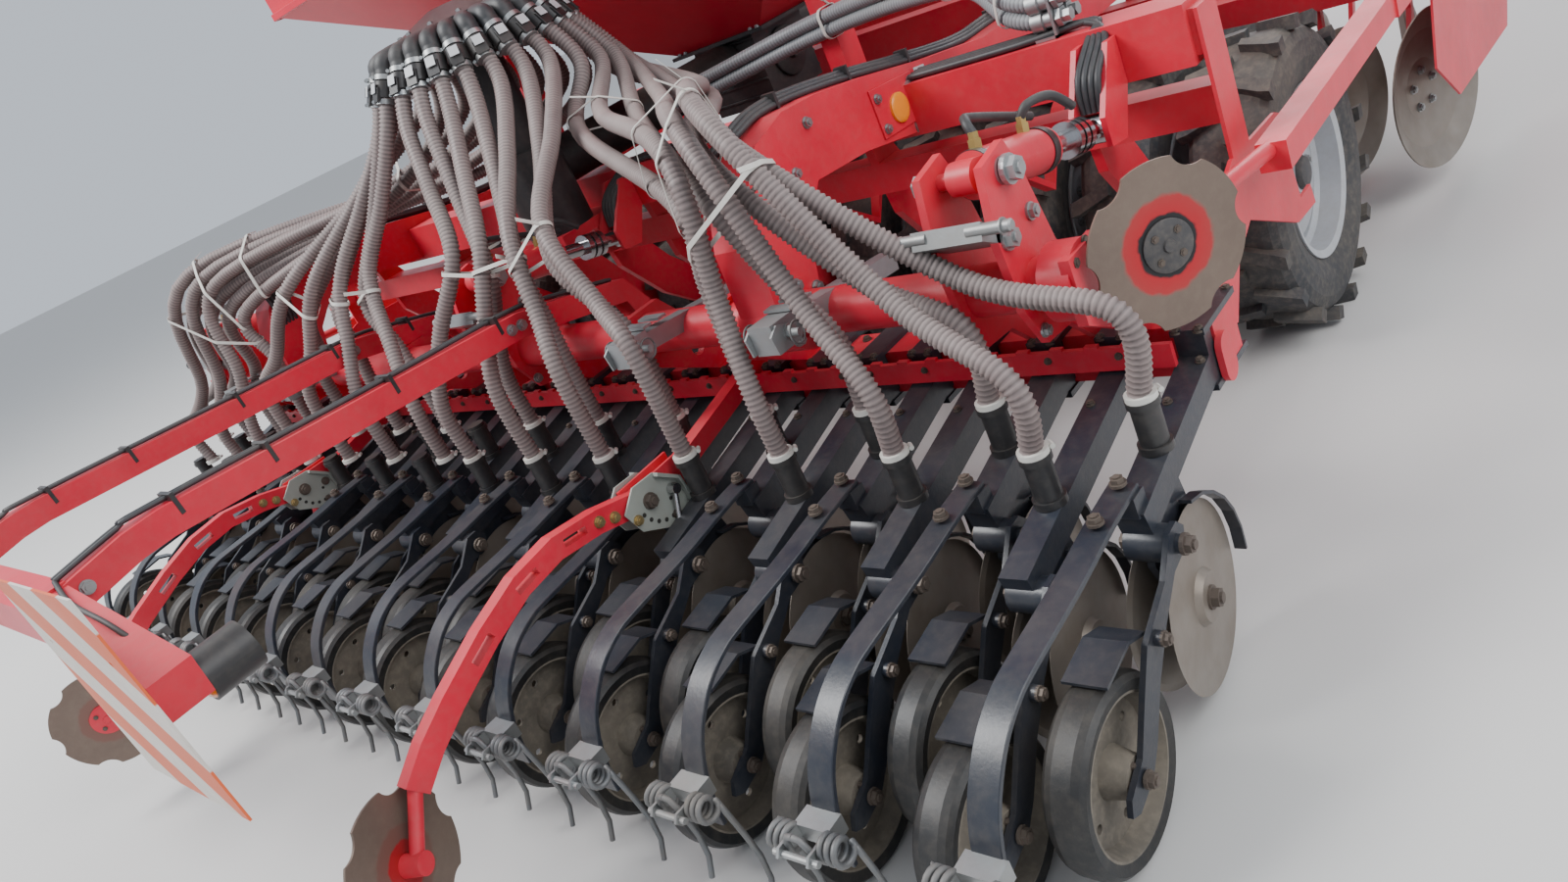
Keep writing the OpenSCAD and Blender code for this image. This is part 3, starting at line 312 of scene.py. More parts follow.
def spun(bm, place, aim, rings, sides=48):
    """A closed turned shape: rings are (distance along the axis, radius) from end to end."""
    turned = Vector(aim).to_track_quat("Z", "Y").to_matrix()
    angles = [2 * math.pi * k / sides for k in range(sides)]
    loops = []
    for reach, radius in rings:
        ring = [Vector((radius * math.cos(a), radius * math.sin(a), reach)) for a in angles]
        loops.append([bm.verts.new(Vector(place) + turned @ point) for point in ring])
    for first, second in zip(loops, loops[1:]):
        for k in range(sides):
            bm.faces.new((first[k], first[(k + 1) % sides], second[(k + 1) % sides], second[k]))
    bm.faces.new(loops[0][::-1])
    bm.faces.new(loops[-1])


def slab(bm, corners, push):
    """A flat plate: its outline, and the vector that its thickness is along."""
    low = [bm.verts.new(c) for c in corners]
    high = [bm.verts.new(Vector(c) + Vector(push)) for c in corners]
    bm.faces.new(low[::-1])
    bm.faces.new(high)
    for k in range(len(low)):
        n = (k + 1) % len(low)
        bm.faces.new((low[k], low[n], high[n], high[k]))


def box(bm, low, high):
    """An upright block between two opposite corners in millimetres."""
    (x, y, z), (far_x, far_y, far_z) = low, high
    slab(bm, [at(x, y, z), at(far_x, y, z), at(far_x, far_y, z), at(x, far_y, z)],
         (0, 0, (far_z - z) / 1000))


def side_plate(bm, x, outline, width):
    """A plate that faces left or right: its outline in y and z, and its width in millimetres."""
    slab(bm, [at(x, y, z) for y, z in outline], (width / 1000, 0, 0))


hands = ((1, "right"), (-1, "left"))
lens_rings = [(0, 0.034), (0.006, 0.034), (0.009, 0.030), (0.010, 0.022)]
amber_glass = coat("amber_glass", (0.95, 0.32, 0.02), (0.85, 0.24, 0.01), (0.5, 0.2, 0.05), dust=0.1,
                   chips=0.0, rough=0.18)
label_paint = coat("label_paint", (0.62, 0.64, 0.66), (0.54, 0.56, 0.58), (0.3, 0.3, 0.3), dust=0.3,
                   chips=0.1, rough=0.5)
for side, word in hands:
    face = beam_out * side
    plate = ((-830, 942), (-655, 932), (-655, 1040), (-830, 1055))
    label = ((-635, 985), (-590, 980), (-590, 1034), (-635, 1040))
    spots = [(at(face + side * 5, y, z), (side, 0, 0), 11)
             for y, z in ((-812, 1030), (-672, 1022), (-672, 950), (-812, 960))]
    solid("reflector_plate_" + word, "frame", red_paint,
          lambda bm: side_plate(bm, face, plate, side * 5), bevel=0.001)
    solid("reflector_" + word, "frame", amber_glass,
          lambda bm: spun(bm, at(face + side * 5, -745, 985), (side, 0, 0), lens_rings))
    solid("label_" + word, "frame", label_paint, lambda bm: side_plate(bm, face, label, side * 1.5))
    bolts("reflector_bolts_" + word, "frame", spots, zinc_plate)

# Packer: tyres of black rubber with open lugs, dusty in the grooves, on pressed rims painted
# silver, each held by six nuts and closed by a grease cap. The middle body has a single tyre.
tyre_rubber = coat("tyre_rubber", (0.028, 0.031, 0.037), (0.018, 0.020, 0.024), (0.11, 0.095, 0.075),
                   dust=0.5, chips=0.3, rough=0.62, bump=0.3)
silver_paint = coat("silver_paint", (0.5, 0.52, 0.55), (0.42, 0.44, 0.46), (0.2, 0.15, 0.1), dust=0.35,
                    chips=0.15, rough=0.4, metal=0.3)
grease_cap = coat("grease_cap", (0.05, 0.05, 0.055), (0.03, 0.03, 0.035), (0.16, 0.12, 0.08), dust=0.4,
                  chips=0.3, rough=0.5)
tyre_pitch, axle_z = 286, 390
for body in range(1, 8):
    finish(tyre_rubber, f"packer_tyres_{body}")
    finish(silver_paint, f"packer_rims_{body}")

    centre = (8 - 2 * body) * tyre_pitch - (0 if body == 4 else (1 if body < 4 else -1) * tyre_pitch / 2)
    nuts, caps = [], []
    for side in ([1] if body == 4 else [1, -1]):
        wheel_x = centre + (0 if body == 4 else side * tyre_pitch / 2)
        nuts += [(at(*spot), (side, 0, 0), 14) for spot in circle(wheel_x + side * 40, 0, axle_z, 84, 6)]
        caps.append((at(wheel_x + side * 50, 0, axle_z), (side, 0, 0)))
    bolts(f"packer_nuts_{body}", f"packer_{body}", nuts, zinc_plate)

    def make_caps(bm):
        for place, aim in caps:
            spun(bm, place, aim,
                 [(-0.004, 0.044), (0.004, 0.044), (0.014, 0.038), (0.018, 0.028), (0.019, 0.01)], sides=24)

    solid(f"packer_caps_{body}", f"packer_{body}", grease_cap, make_caps)

# Distributor: a moulded head with fourteen rubber elbows on each side, each with a black seed
# sensor between two band clamps and a bare label.


def build_pipe(node, put):
    """A smooth round pipe along each line of the host."""
    curve = node("GeometryNodeMeshToCurve", ("Mesh", put["Geometry"]))
    ring = node("GeometryNodeCurvePrimitiveCircle", ("Resolution", put["Sides"]), ("Radius", put["Radius"]))
    pipe = node("GeometryNodeCurveToMesh", ("Curve", curve.outputs["Curve"]),
                ("Profile Curve", ring.outputs["Curve"]), ("Fill Caps", True))
    return pipe.outputs["Mesh"]


pipe_tree = make_tree("pipes", [("Radius", "Float", 0.01), ("Sides", "Int", 12)], build_pipe)


def along(name, tree, body, lines, material, slot, **sizes):
    """Runs a tree along several lines at once."""
    points, edges = [], []
    for line in lines:
        edges += [(len(points) + k, len(points) + k + 1) for k in range(len(line) - 1)]
        points += line
    return grow(name, tree, body, points, edges=edges, material=material, slot=slot, smooth=True, **sizes)


def smooth_line(knots, steps):
    """A smooth line through the knots, with steps points for each stretch."""
    line = []
    for n in range(len(knots) - 1):
        a, b, c, d = knots[max(n - 1, 0)], knots[n], knots[n + 1], knots[min(n + 2, len(knots) - 1)]
        for j in range(steps):
            t = j / steps
            line.append(0.5 * (2 * b + (c - a) * t + (2 * a - 5 * b + 4 * c - d) * t * t
                               + (3 * b - a - 3 * c + d) * t ** 3))
    return line + [knots[-1]]


def band_clamp(bm, place, way, radius, width):
    """A band with its screw housing."""
    way = Vector(way).normalized()
    out = way.orthogonal().normalized()
    spun(bm, place - way * width / 2, way,
         [(0, radius - 0.004), (0, radius), (width, radius), (width, radius - 0.004)], sides=20)
    spun(bm, place + out * (radius + 0.004) - way.cross(out) * 0.009, way.cross(out),
         [(0, 0.005), (0.018, 0.005)], sides=8)


black_plastic = coat("black_plastic", (0.022, 0.022, 0.024), (0.015, 0.015, 0.017), (0.09, 0.085, 0.08),
                     dust=0.14, chips=0.05, rough=0.4, bump=0.08)
black_rubber = coat("black_rubber", (0.035, 0.038, 0.042), (0.024, 0.026, 0.03), (0.08, 0.07, 0.065),
                    dust=0.15, chips=0.05, rough=0.5, bump=0.1)
finish(black_plastic, "seed_elbows", "distributor")
head_y, head_z, head_r, outlet_lean = -862, 1540, 240, math.radians(30)


def outlet(k):
    """End of outlet k on the right side, its direction, and the direction away from the head."""
    a = math.radians(9 + 12.4 * k)
    outward = Vector((math.sin(a), -math.cos(a), 0))
    way = outward * math.sin(outlet_lean) + Vector((0, 0, -math.cos(outlet_lean)))
    return Vector((0, head_y, head_z + 8)) + head_r * outward + 60.3 * way, way, outward


outlets = []
for k in range(14):
    for side in (1, -1):
        tip, way, outward = (Vector((side * v.x, v.y, v.z)) for v in outlet(k))
        outlets.append((at(*tip), way, outward))
elbow_lines = []
for tip, way, outward in outlets:
    knee = tip - 0.0603 * way
    elbow_lines.append(smooth_line([knee - 0.075 * outward, knee - 0.03 * outward,
                                    tip - 0.052 * way + 0.002 * outward, tip - 0.03 * way,
                                    tip - 0.012 * way], 4))
along("outlet_elbows", pipe_tree, "frame", elbow_lines, black_rubber, "black_plastic", radius=0.0255,
      sides=14)


def make_sensors(bm):
    for tip, way, outward in outlets:
        across = way.cross(outward) * 0.02
        back, front = (tip + outward * 0.02 + way * reach for reach in (0.004, 0.042))
        spun(bm, tip + 0.002 * way, way, [(0, 0.022), (0, 0.0285), (0.044, 0.0285), (0.044, 0.022)],
             sides=20)
        slab(bm, [back - across, back + across, front + across, front - across], outward * 0.014)


def make_sensor_labels(bm):
    for tip, way, outward in outlets:
        flat = (outward - way * outward.dot(way)).normalized()
        corners = [tip + flat * 0.0335 + way * w + way.cross(flat) * s
                   for w, s in ((0.010, -0.013), (0.010, 0.013), (0.036, 0.013), (0.036, -0.013))]
        slab(bm, corners, flat * 0.0012)


def make_outlet_clamps(bm):
    for tip, way, outward in outlets:
        for reach, radius in ((-0.008, 0.0278), (0.056, 0.0262)):
            band_clamp(bm, tip + way * reach, way, radius, 0.013)


solid("seed_sensors", "frame", black_plastic, make_sensors, bevel=0.0012)
solid("sensor_labels", "frame", label_paint, make_sensor_labels)
solid("outlet_clamps", "frame", zinc_plate, make_outlet_clamps)
head_spots = [(at(160 * math.sin(a), head_y + 160 * math.cos(a), head_z + 34), (0, 0, 1), 8)
              for a in (2 * math.pi * k / 12 for k in range(12))]
bolts("head_bolts", "frame", head_spots, zinc_plate)

# Seed hoses: ribbed plastic hoses, brown from the sun, one from each sensor to each coulter.
# Their routes follow the rules of the part's source, with values of their own for the outer
# bundle.
row_count, row_pitch, stagger = 28, 143, 150
half_width = (row_count - 1) / 2 * row_pitch
bar_y, bar_z, arm_size = -1100, 520, 54
bundles = [
    dict(run=(260, -80), tie=(1260, -1370, 1150), step=(-32, 0, -15), odd=(30, -30, 90), into=(150, 0, -20),
         slack=0.35, slack_out=(190, -320), slack_up=(-100, 60), fall=0.6, fall_up=(-80, 90)),
    dict(run=(140, 0), tie=(700, -1390, 1020), step=(-75, 5, -5), odd=(-30, -10, 70), into=(210, -90, 40),
         slack=0.45, slack_out=(20, -20), slack_up=(-10, 0), fall=0.6, fall_up=(-10, 40))]


def row_x(i):
    return half_width - i * row_pitch


def arm_z(i, y):
    """Height of a coulter arm's middle: even rows are the front ones."""
    start_y, start_z = bar_y - 30, bar_z - 8
    end_y, end_z = (-1545, 426) if i % 2 == 0 else (-1545 - stagger, 402)
    return start_z + (end_z - start_z) * (y - start_y) / (end_y - start_y)


def elbow_tip(i):
    y = -1401 if i % 2 == 0 else -1530
    return Vector((row_x(i), y, arm_z(i, y) + arm_size / 2 + 104.3))


def hose_knots(i):
    """The seven points that hose i of the right side runs through."""
    bundle = bundles[i // 7]
    share = (i % 7) / 6

    def grown(key):
        return bundle[key][0] + bundle[key][1] * share

    start, way, outward = outlet(13 - i)
    leave = start + grown("run") * way
    tie = Vector(bundle["tie"]) + (i % 7) * Vector(bundle["step"]) + (i % 2) * Vector(bundle["odd"])
    over = elbow_tip(i) + Vector((0, 0, grown("into") + bundle["into"][2] * (i % 2)))
    before = leave + bundle["slack"] * (tie - leave) + grown("slack_out") * outward
    before.z += grown("slack_up")
    after = tie + bundle["fall"] * (over - tie)
    after.z += grown("fall_up")
    return [start, leave, before, tie, after, over, elbow_tip(i)]


def build_ribbed(node, put):
    """A hose whose rings are wide and narrow in turn."""
    curve = node("GeometryNodeMeshToCurve", ("Mesh", put["Geometry"]))
    even = node("GeometryNodeResampleCurve", ("Curve", curve.outputs["Curve"]),
                ("Length", put["Half pitch"]), mode="LENGTH")
    odd = node("ShaderNodeMath", (0, node("GeometryNodeInputIndex").outputs["Index"]), (1, 2.0),
               operation="MODULO")
    swell = node("ShaderNodeMath", (0, odd.outputs["Value"]), (1, put["Rib height"]),
                 (2, put["Inner radius"]), operation="MULTIPLY_ADD")
    ring = node("GeometryNodeCurvePrimitiveCircle", ("Resolution", put["Sides"]), ("Radius", 1.0))
    # The rib mark also says where the hose's paint gets its painted groove shade.
    marked = node("GeometryNodeStoreNamedAttribute", ("Geometry", even.outputs["Curve"]), ("Name", "rib"),
                  ("Value", odd.outputs["Value"]), data_type="FLOAT", domain="POINT")
    hose = node("GeometryNodeCurveToMesh", ("Curve", marked.outputs["Geometry"]),
                ("Profile Curve", ring.outputs["Curve"]), ("Scale", swell.outputs["Value"]),
                ("Fill Caps", True))
    return hose.outputs["Mesh"]


def paint_over(material, share, colour):
    """Lays a colour over the material's own, as far as the share says."""
    tree = material.node_tree
    base = tree.nodes["Principled BSDF"].inputs["Base Color"]
    mix = add_node(tree, "ShaderNodeMix", ("Factor", share), (6, base.links[0].from_socket), (7, colour),
                   data_type="RGBA")
    tree.links.new(mix.outputs[2], base)


def paint_groove_shade(material, share):
    """Paints shade into a ribbed hose's grooves: darker paint where its rings are narrow."""
    tree = material.node_tree
    rib = add_node(tree, "ShaderNodeAttribute", attribute_name="rib").outputs["Fac"]
    # Painted shade: a near-black colour laid over the paint in the grooves.
    groove = add_node(tree, "ShaderNodeMapRange", ("Value", rib), ("To Min", share), ("To Max", 0.0))
    paint_over(material, groove.outputs["Result"], (0.03, 0.024, 0.022, 1))


ribbed_tree = make_tree("ribbed_hose", [("Half pitch", "Float", 0.0055), ("Rib height", "Float", 0.0045),
                                        ("Inner radius", "Float", 0.0175), ("Sides", "Int", 10)],
                        build_ribbed)
hose_plastic = coat("hose_plastic", (0.32, 0.245, 0.232), (0.24, 0.185, 0.176), (0.36, 0.32, 0.28),
                    dust=0.45, chips=0.25, rough=0.5, bump=0.1, dust_colour=(0.40, 0.36, 0.33))
# Painted shade in the grooves between the seed hoses' ribs.
paint_groove_shade(hose_plastic, 0.6)


def hose_route(i, side):
    return [at(side * p.x, p.y, p.z) for p in smooth_line(hose_knots(i), 8)]


def bend_with_lift(piece):
    """Bakes the piece's place into its mesh, on no body."""
    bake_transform(piece)


for side, word in hands:
    for place, rows in (("outer", range(7)), ("inner", range(7, 14))):
        piece = along(f"hoses_{place}_{word}", ribbed_tree, None, [hose_route(i, side) for i in rows],
                      hose_plastic, "hose")
        bend_with_lift(piece)
        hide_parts("hoses_" + word)

# Hose ties: flat white straps of plastic with loose ends, pulled round each bundle.
tie_plastic = coat("tie_plastic", (0.72, 0.71, 0.66), (0.62, 0.6, 0.54), (0.4, 0.36, 0.3), dust=0.35,
                   chips=0.2, rough=0.45, bump=0.05)


def turn_of(a, b, c):
    """More than 0 where the way from a over b to c turns left."""
    return (b[0] - a[0]) * (c[1] - a[1]) - (b[1] - a[1]) * (c[0] - a[0])


def convex(points):
    """The outline round flat points, counter-clockwise."""
    outline = []
    for run in (sorted(points), sorted(points, reverse=True)):
        start = len(outline)
        for p in run:
            while len(outline) >= start + 2 and turn_of(outline[-2], outline[-1], p) <= 0:
                outline.pop()
            outline.append(p)
        outline.pop()
    return outline


def strap(bm, routes, k, width=0.010, thickness=0.0018, loose_end=0.07):
    """A band round all the routes, in the plane across them at their point k."""
    anchor = sum((route[k] for route in routes), Vector()) / len(routes)
    way = sum(((route[k + 1] - route[k - 1]).normalized() for route in routes), Vector()).normalized()
    turned = way.to_track_quat("Z", "Y").to_matrix()
    flat = []
    for route in routes:
        near = min(range(1, len(route) - 1), key=lambda n: abs((route[n] - anchor).dot(way)))
        step = (route[near + 1] - route[near - 1]).normalized()
        reach = (anchor - route[near]).dot(way) / step.dot(way)
        hit = turned.transposed() @ (route[near] + step * reach - anchor)
        flat += [(hit.x + 0.0235 * math.cos(a * math.pi / 8), hit.y + 0.0235 * math.sin(a * math.pi / 8))
                 for a in range(16)]
    outline = convex(flat)
    middle = Vector((sum(p[0] for p in outline), sum(p[1] for p in outline), 0)) / len(outline)
    loops = []
    for shift, out in ((-width / 2, 0), (-width / 2, thickness), (width / 2, thickness), (width / 2, 0)):
        flats = [Vector((x, y, 0)) + (Vector((x, y, 0)) - middle).normalized() * out for x, y in outline]
        loops.append([bm.verts.new(anchor + turned @ (p + Vector((0, 0, shift)))) for p in flats])
    for first, second in zip(loops, loops[1:] + loops[:1]):
        for n in range(len(outline)):
            m = (n + 1) % len(outline)
            bm.faces.new((first[n], first[m], second[m], second[n]))
    high = max(outline, key=lambda p: (turned @ Vector((p[0], p[1], 0))).z)
    foot = anchor + turned @ Vector((high[0], high[1], 0))
    outward = (turned @ (Vector((high[0], high[1], 0)) - middle)).normalized()
    across = way.cross(outward) * loose_end * 0.8 + outward * loose_end * 0.4
    slab(bm, [foot - way * width / 2, foot + way * width / 2, foot + across + way * width / 2,
              foot + across - way * width / 2], outward * thickness)


for side, word in hands:
    outer = [hose_route(i, side) for i in range(7)]
    inner = [hose_route(i, side) for i in range(7, 14)]

    def make_ties(bm):
        for k in (22, 24, 27):
            strap(bm, outer, k)
        strap(bm, outer[4:], 15)
        for group in (inner[:3], inner[3:5], inner[5:]):
            strap(bm, group, 25)

    bend_with_lift(solid("hose_ties_" + word, None, tie_plastic, make_ties))

# Air ducts: black corrugated plastic pipes, from the fan to the metering unit and on to the
# tower, in place of the plain pipes of the part.
finish(black_plastic, "metering_unit")
for word, lines, radius in (("front", [[at(0, 1490, 1090), at(0, 370, 1090)]], 0.064),
                            ("rear", [[at(0, 90, 1100), at(0, -790, 1100)]], 0.059)):
    duct = along("air_duct_" + word, ribbed_tree, "frame", lines, black_plastic, "black_plastic",
                 half_pitch=0.009, rib_height=0.011, inner_radius=radius, sides=32)
    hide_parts("air_duct")

# Elbows: black moulded elbows on the coulter arms, with a pale band round the hose's end.


def make_elbow_clamps(bm):
    for i in range(14):
        tip = elbow_tip(i)
        for side in (1, -1):
            band_clamp(bm, at(side * tip.x, tip.y, tip.z - 6), Vector((0, 0, 1)), 0.0275, 0.012)


solid("elbow_clamps", "coulters", tie_plastic, make_elbow_clamps)

# Coulter arms: black painted square tubes, scraped and dusty, with rusty bolts on top and
# bolted pivots for the wheel arms.
black_paint = coat("black_paint", (0.022, 0.028, 0.04), (0.015, 0.018, 0.027), (0.12, 0.085, 0.07),
                   dust=0.14, chips=0.2, rough=0.3, bump=0.15)
finish(black_paint, "coulter_arms", "coulter_shoes", "wheel_arms", "wheel_scrapers")
wheel_y = -1821
arm_top, arm_side = [], []
for i in range(row_count):
    x, shift = row_x(i), 0 if i % 2 == 0 else -stagger
    for y in (-1200, -1300):
        arm_top.append((at(x + (16 if y == -1200 else -12), y, arm_z(i, y) + arm_size / 2 + 2),
                        (0, -0.2, 1), 8))
    for s in (-1, 1):
        arm_side.append((at(x + s * 20, bar_y - 84, bar_z + 58), (0, 0, 1), 10))
        arm_side.append((at(x + s * 20, bar_y + 64, bar_z + 58), (0, 0, 1), 10))
    arm_side.append((at(x + 66, wheel_y + 296 + shift, 378), (1, 0, 0), 17))
    arm_side.append((at(x - 25, wheel_y + 296 + shift, 378), (-1, 0, 0), 17))
    arm_side.append((at(x + 67, wheel_y + 150 + shift, 308), (1, 0, 0), 12))
    arm_side.append((at(x + 60, wheel_y + shift, 160), (1, 0, 0), 14))
    if i % 2 == 0:
        for y, z in ((wheel_y + 285, 502), (wheel_y + 190, 496)):
            arm_top.append((at(x - 8, y, z), (0, 0, 1), 13))
bolts("arm_top_bolts", "coulters", arm_top, rusty_steel, slot="black_paint")
bolts("arm_side_bolts", "coulters", arm_side, rusty_steel, slot="black_paint")

# Worn steel: opener discs and front discs are bare steel, ground bright by the soil, with
# bolted hubs.
soil_steel = coat("soil_steel", (0.30, 0.27, 0.24), (0.2, 0.165, 0.135), (0.42, 0.4, 0.37), dust=0.4,
                  chips=0.3, rough=0.4, metal=0.55)
finish(soil_steel, "opener_discs", "front_discs")
toe = math.radians(5)
disc_bolts = []
for i in range(row_count):
    y = wheel_y + 380 - (0 if i % 2 == 0 else stagger)
    for s in (1, -1):
        aim = Vector((s * math.cos(toe), math.sin(toe), 0))
        place = Vector((row_x(i) + s * 20, y, 196)) + 16 * aim
        disc_bolts.append((at(*place), aim, 20))
bolts("opener_bolts", "coulters", disc_bolts, rusty_steel, slot="soil_steel")
disc_pitch, disc_lean, bolt_ring = 246, math.radians(16), 0.055
front_spots = []
for y, s in ((760, 1), (1190, -1)):
    for k in range(16):
        aim = Vector((s * math.cos(disc_lean), -math.sin(disc_lean), 0))
        hub = at((k - 7.5) * disc_pitch + s * 38, y, 300) + aim * 0.006
        for n in range(5):
            a = math.radians(72 * n)
            ray = Vector((-aim.y * math.sin(a), aim.x * math.sin(a), math.cos(a)))
            front_spots.append((hub + bolt_ring * ray, aim, 12))
bolts("front_disc_bolts", "frame", front_spots, zinc_plate)

# Press wheels: soft rubber tyres on dished steel faces that are caked with pale dust, each
# closed by a ring of small bolts round the hub.
press_rubber = coat("press_rubber", (0.012, 0.013, 0.015), (0.008, 0.009, 0.010), (0.10, 0.085, 0.065),
                    dust=0.16, chips=0.2, rough=0.45, bump=0.2)
press_face = coat("press_face", (0.15, 0.13, 0.105), (0.085, 0.075, 0.062), (0.3, 0.26, 0.2), dust=0.65,
                  chips=0.3, rough=0.7, bump=0.25, dust_colour=(0.34, 0.29, 0.22))
finish(press_rubber, "press_tyres_front", "press_tyres_rear")
finish(press_face, "press_discs_front", "press_discs_rear")
for word, first in (("front", 0), ("rear", 1)):
    spots = []
    for i in range(first, row_count, 2):
        y = wheel_y - first * stagger
        for reach, s in ((24, 1), (20, -1)):
            face = row_x(i) + (40 if s > 0 else -26)
            spots += [(at(*spot), (s, 0, 0), 6) for spot in circle(face, y, 160, reach, 5, 20)]
    bolts("press_bolts_" + word, "press_wheels_" + word, spots, rusty_steel, slot="press_face")

# Harrow bars: flat black bars bent in one sweep over each front press wheel, screwed to the
# coulter arm with a block below, in place of the many-sided ones of the part.
bar_path = [(300, 488), (200, 483), (60, 470), (-100, 462), (-150, 455), (-200, 435), (-240, 405),
            (-275, 365), (-300, 310), (-312, 250), (-314, 215)]
block = [(wheel_y + y, z) for y, z in
         ((267, 445), (303, 445), (305, 448), (305, 484), (265, 484), (265, 448))]
bar_section = [(-25, -3.5), (-23.5, -5), (23.5, -5), (25, -3.5), (25, 3.5), (23.5, 5), (-23.5, 5),
               (-25, 3.5)]


def make_harrow_bars(bm):
    line = smooth_line([Vector((0, wheel_y + y, z)) for y, z in bar_path], 4)
    for i in range(0, row_count, 2):
        x = row_x(i) - 8
        loops = []
        for k, point in enumerate(line):
            way = (line[min(k + 1, len(line) - 1)] - line[max(k - 1, 0)]).normalized()
            loops.append([bm.verts.new(at(x + a, point.y - way.z * b, point.z + way.y * b))
                          for a, b in bar_section])
        for first, second in zip(loops, loops[1:]):
            for n in range(8):
                bm.faces.new((first[n], first[(n + 1) % 8], second[(n + 1) % 8], second[n]))
        bm.faces.new(loops[0][::-1])
        bm.faces.new(loops[-1])
        side_plate(bm, x - 15, block, 44)


harrow_bars = solid("harrow_sweeps", "coulters", black_paint, make_harrow_bars)
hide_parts("harrow_bars")

# Harrow tines: double coil springs of round wire, one pair on each harrow bar, clamped by a
# galvanised shackle and pin, in place of the plain ones of the part.
tine_y, tine_z, wire = wheel_y - 352, 300, 0.0055
tine_lines = []
for i in range(0, row_count, 2):
    x0 = row_x(i) - 8
    half = []
    for k in range(0, 58):
        a = k / 16 * 2 * math.pi
        half.append((24 + k * 0.85, 19 * math.cos(a + math.pi), 19 * math.sin(a + math.pi)))
    end = half[-1]
    leg = [(end[0] + 2, end[1] + 4, end[2] - 30), (end[0] + 4, end[1] + 12, end[2] - 90),
           (end[0] + 5, end[1] + 18, end[2] - 150), (end[0] + 5, end[1] + 14, end[2] - 200),
           (end[0] + 5, end[1] - 2, end[2] - 238)]
    loop = [(0, -22, 34), (12, -22, 32), (20, -22, 20), (23, -20, 8)]
    for s in (1, -1):
        tine_lines.append([at(x0 + s * x, tine_y + y, tine_z + z) for x, y, z in loop + half + leg])
zinc_wire = coat("zinc_wire", (0.2, 0.21, 0.22), (0.13, 0.135, 0.14), (0.24, 0.15, 0.1), dust=0.4,
                 chips=0.4, rough=0.5, metal=0.6)
tines = along("spring_tines", pipe_tree, "coulters", tine_lines, zinc_wire, "zinc", radius=wire, sides=8)
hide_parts("harrow_tines")
shackle_side = [(tine_y + y, tine_z + z) for y, z in ((20, 14), (20, -14), (-34, -10), (-44, 4), (-34, 16))]


def make_shackles(bm):
    for i in range(0, row_count, 2):
        x = row_x(i) - 8
        box(bm, (x - 34, tine_y + 12, tine_z - 16), (x + 34, tine_y + 50, tine_z + 16))
        for s in (-1, 1):
            side_plate(bm, x + s * 27, shackle_side, s * 5)
        spun(bm, at(x - 44, tine_y - 32, tine_z + 3), (1, 0, 0), [(0, 0.006), (0.088, 0.006)], sides=10)
        spun(bm, at(x, tine_y + 10, tine_z - 44), (0, -1, 0), [(0, 0.011), (0.006, 0.011)], sides=12)


shackles = solid("tine_shackles", "coulters", zinc_plate, make_shackles)
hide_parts("harrow_tines")

# Coulter bar: plated nuts on the lever pins, stop pins and bolts through the lever plates,
# rusty bolts through the lip behind the bar and the round ends of the rock shaft, and a row of
# short red teeth along the lip.
lever_x, pin_y, pin_z = (-1680, 150, 1680), -1399, 905
lever_spots, bar_spots = [], []
for x in lever_x:
    for s in (-1, 1):
        lever_spots.append((at(x + s * 83, rock_y, rock_z + 211), (s, 0, 0), 24))
        for y, z, size in ((-1342, 862, 20), (-1250, 868, 15), (-1128, 664, 18), (-1324, 676, 12),
                           (-1080, 618, 14)):
            lever_spots.append((at(x + s * 71.5, y, z), (s, 0, 0), size))
for i in range(1, row_count, 2):
    bar_spots.append((at(row_x(i) - row_pitch / 2, bar_y + 20, bar_z + 51), (0, 0, 1), 10))
for x in range(-1150, 1200, row_pitch):
    bar_spots.append((at(x + 22, bar_y - 120.5, bar_z + 38), (0, -1, 0), 7))
for s in (-1, 1):
    bar_spots += [(at(s * (half_width - 87), y, z), (s, 0, 0), 11)
                  for x, y, z in circle(0, rock_y, rock_z, 59, 6, 10)]
    bar_spots += [(at(s * x, bar_y - 120.5, bar_z + 38), (0, -1, 0), 7) for x in range(1240, 1900,
            row_pitch)]
bolts("lever_bolts", "coulters", lever_spots, zinc_plate)
bolts("bar_bolts", "coulters", bar_spots, rusty_steel, slot="red_paint")


def make_lever_pins(bm):
    for x in lever_x:
        for s in (-1, 1):
            spun(bm, at(x + s * 70, pin_y, pin_z), (s, 0, 0),
                 [(-0.03, 0.011), (0.052, 0.011), (0.055, 0.008)], sides=16)
            spun(bm, at(x + s * 70, rock_y, rock_z + 211), (s, 0, 0), [(0, 0.024), (0.004, 0.024)], sides=24)
            spun(bm, at(x + s * 106, pin_y, pin_z), (s, 0, 0), [(0, 0.015), (0.003, 0.015)], sides=16)
        side_plate(bm, x - 70, ((-1412, 890), (-1340, 850), (-1330, 870), (-1400, 920)), 140)


solid("lever_stops", "coulters", zinc_plate, make_lever_pins)


def make_teeth(bm):
    for low, high in ((-1195, 1195), (1136, 1905), (-1905, -1136)):
        for k in range(int((high - low) / (row_pitch / 2))):
            x = low + 40 + k * row_pitch / 2
            box(bm, (x, bar_y - 120, bar_z + 54), (x + 26, bar_y - 108, bar_z + 60))


solid("lip_teeth", "coulters", red_paint, make_teeth)

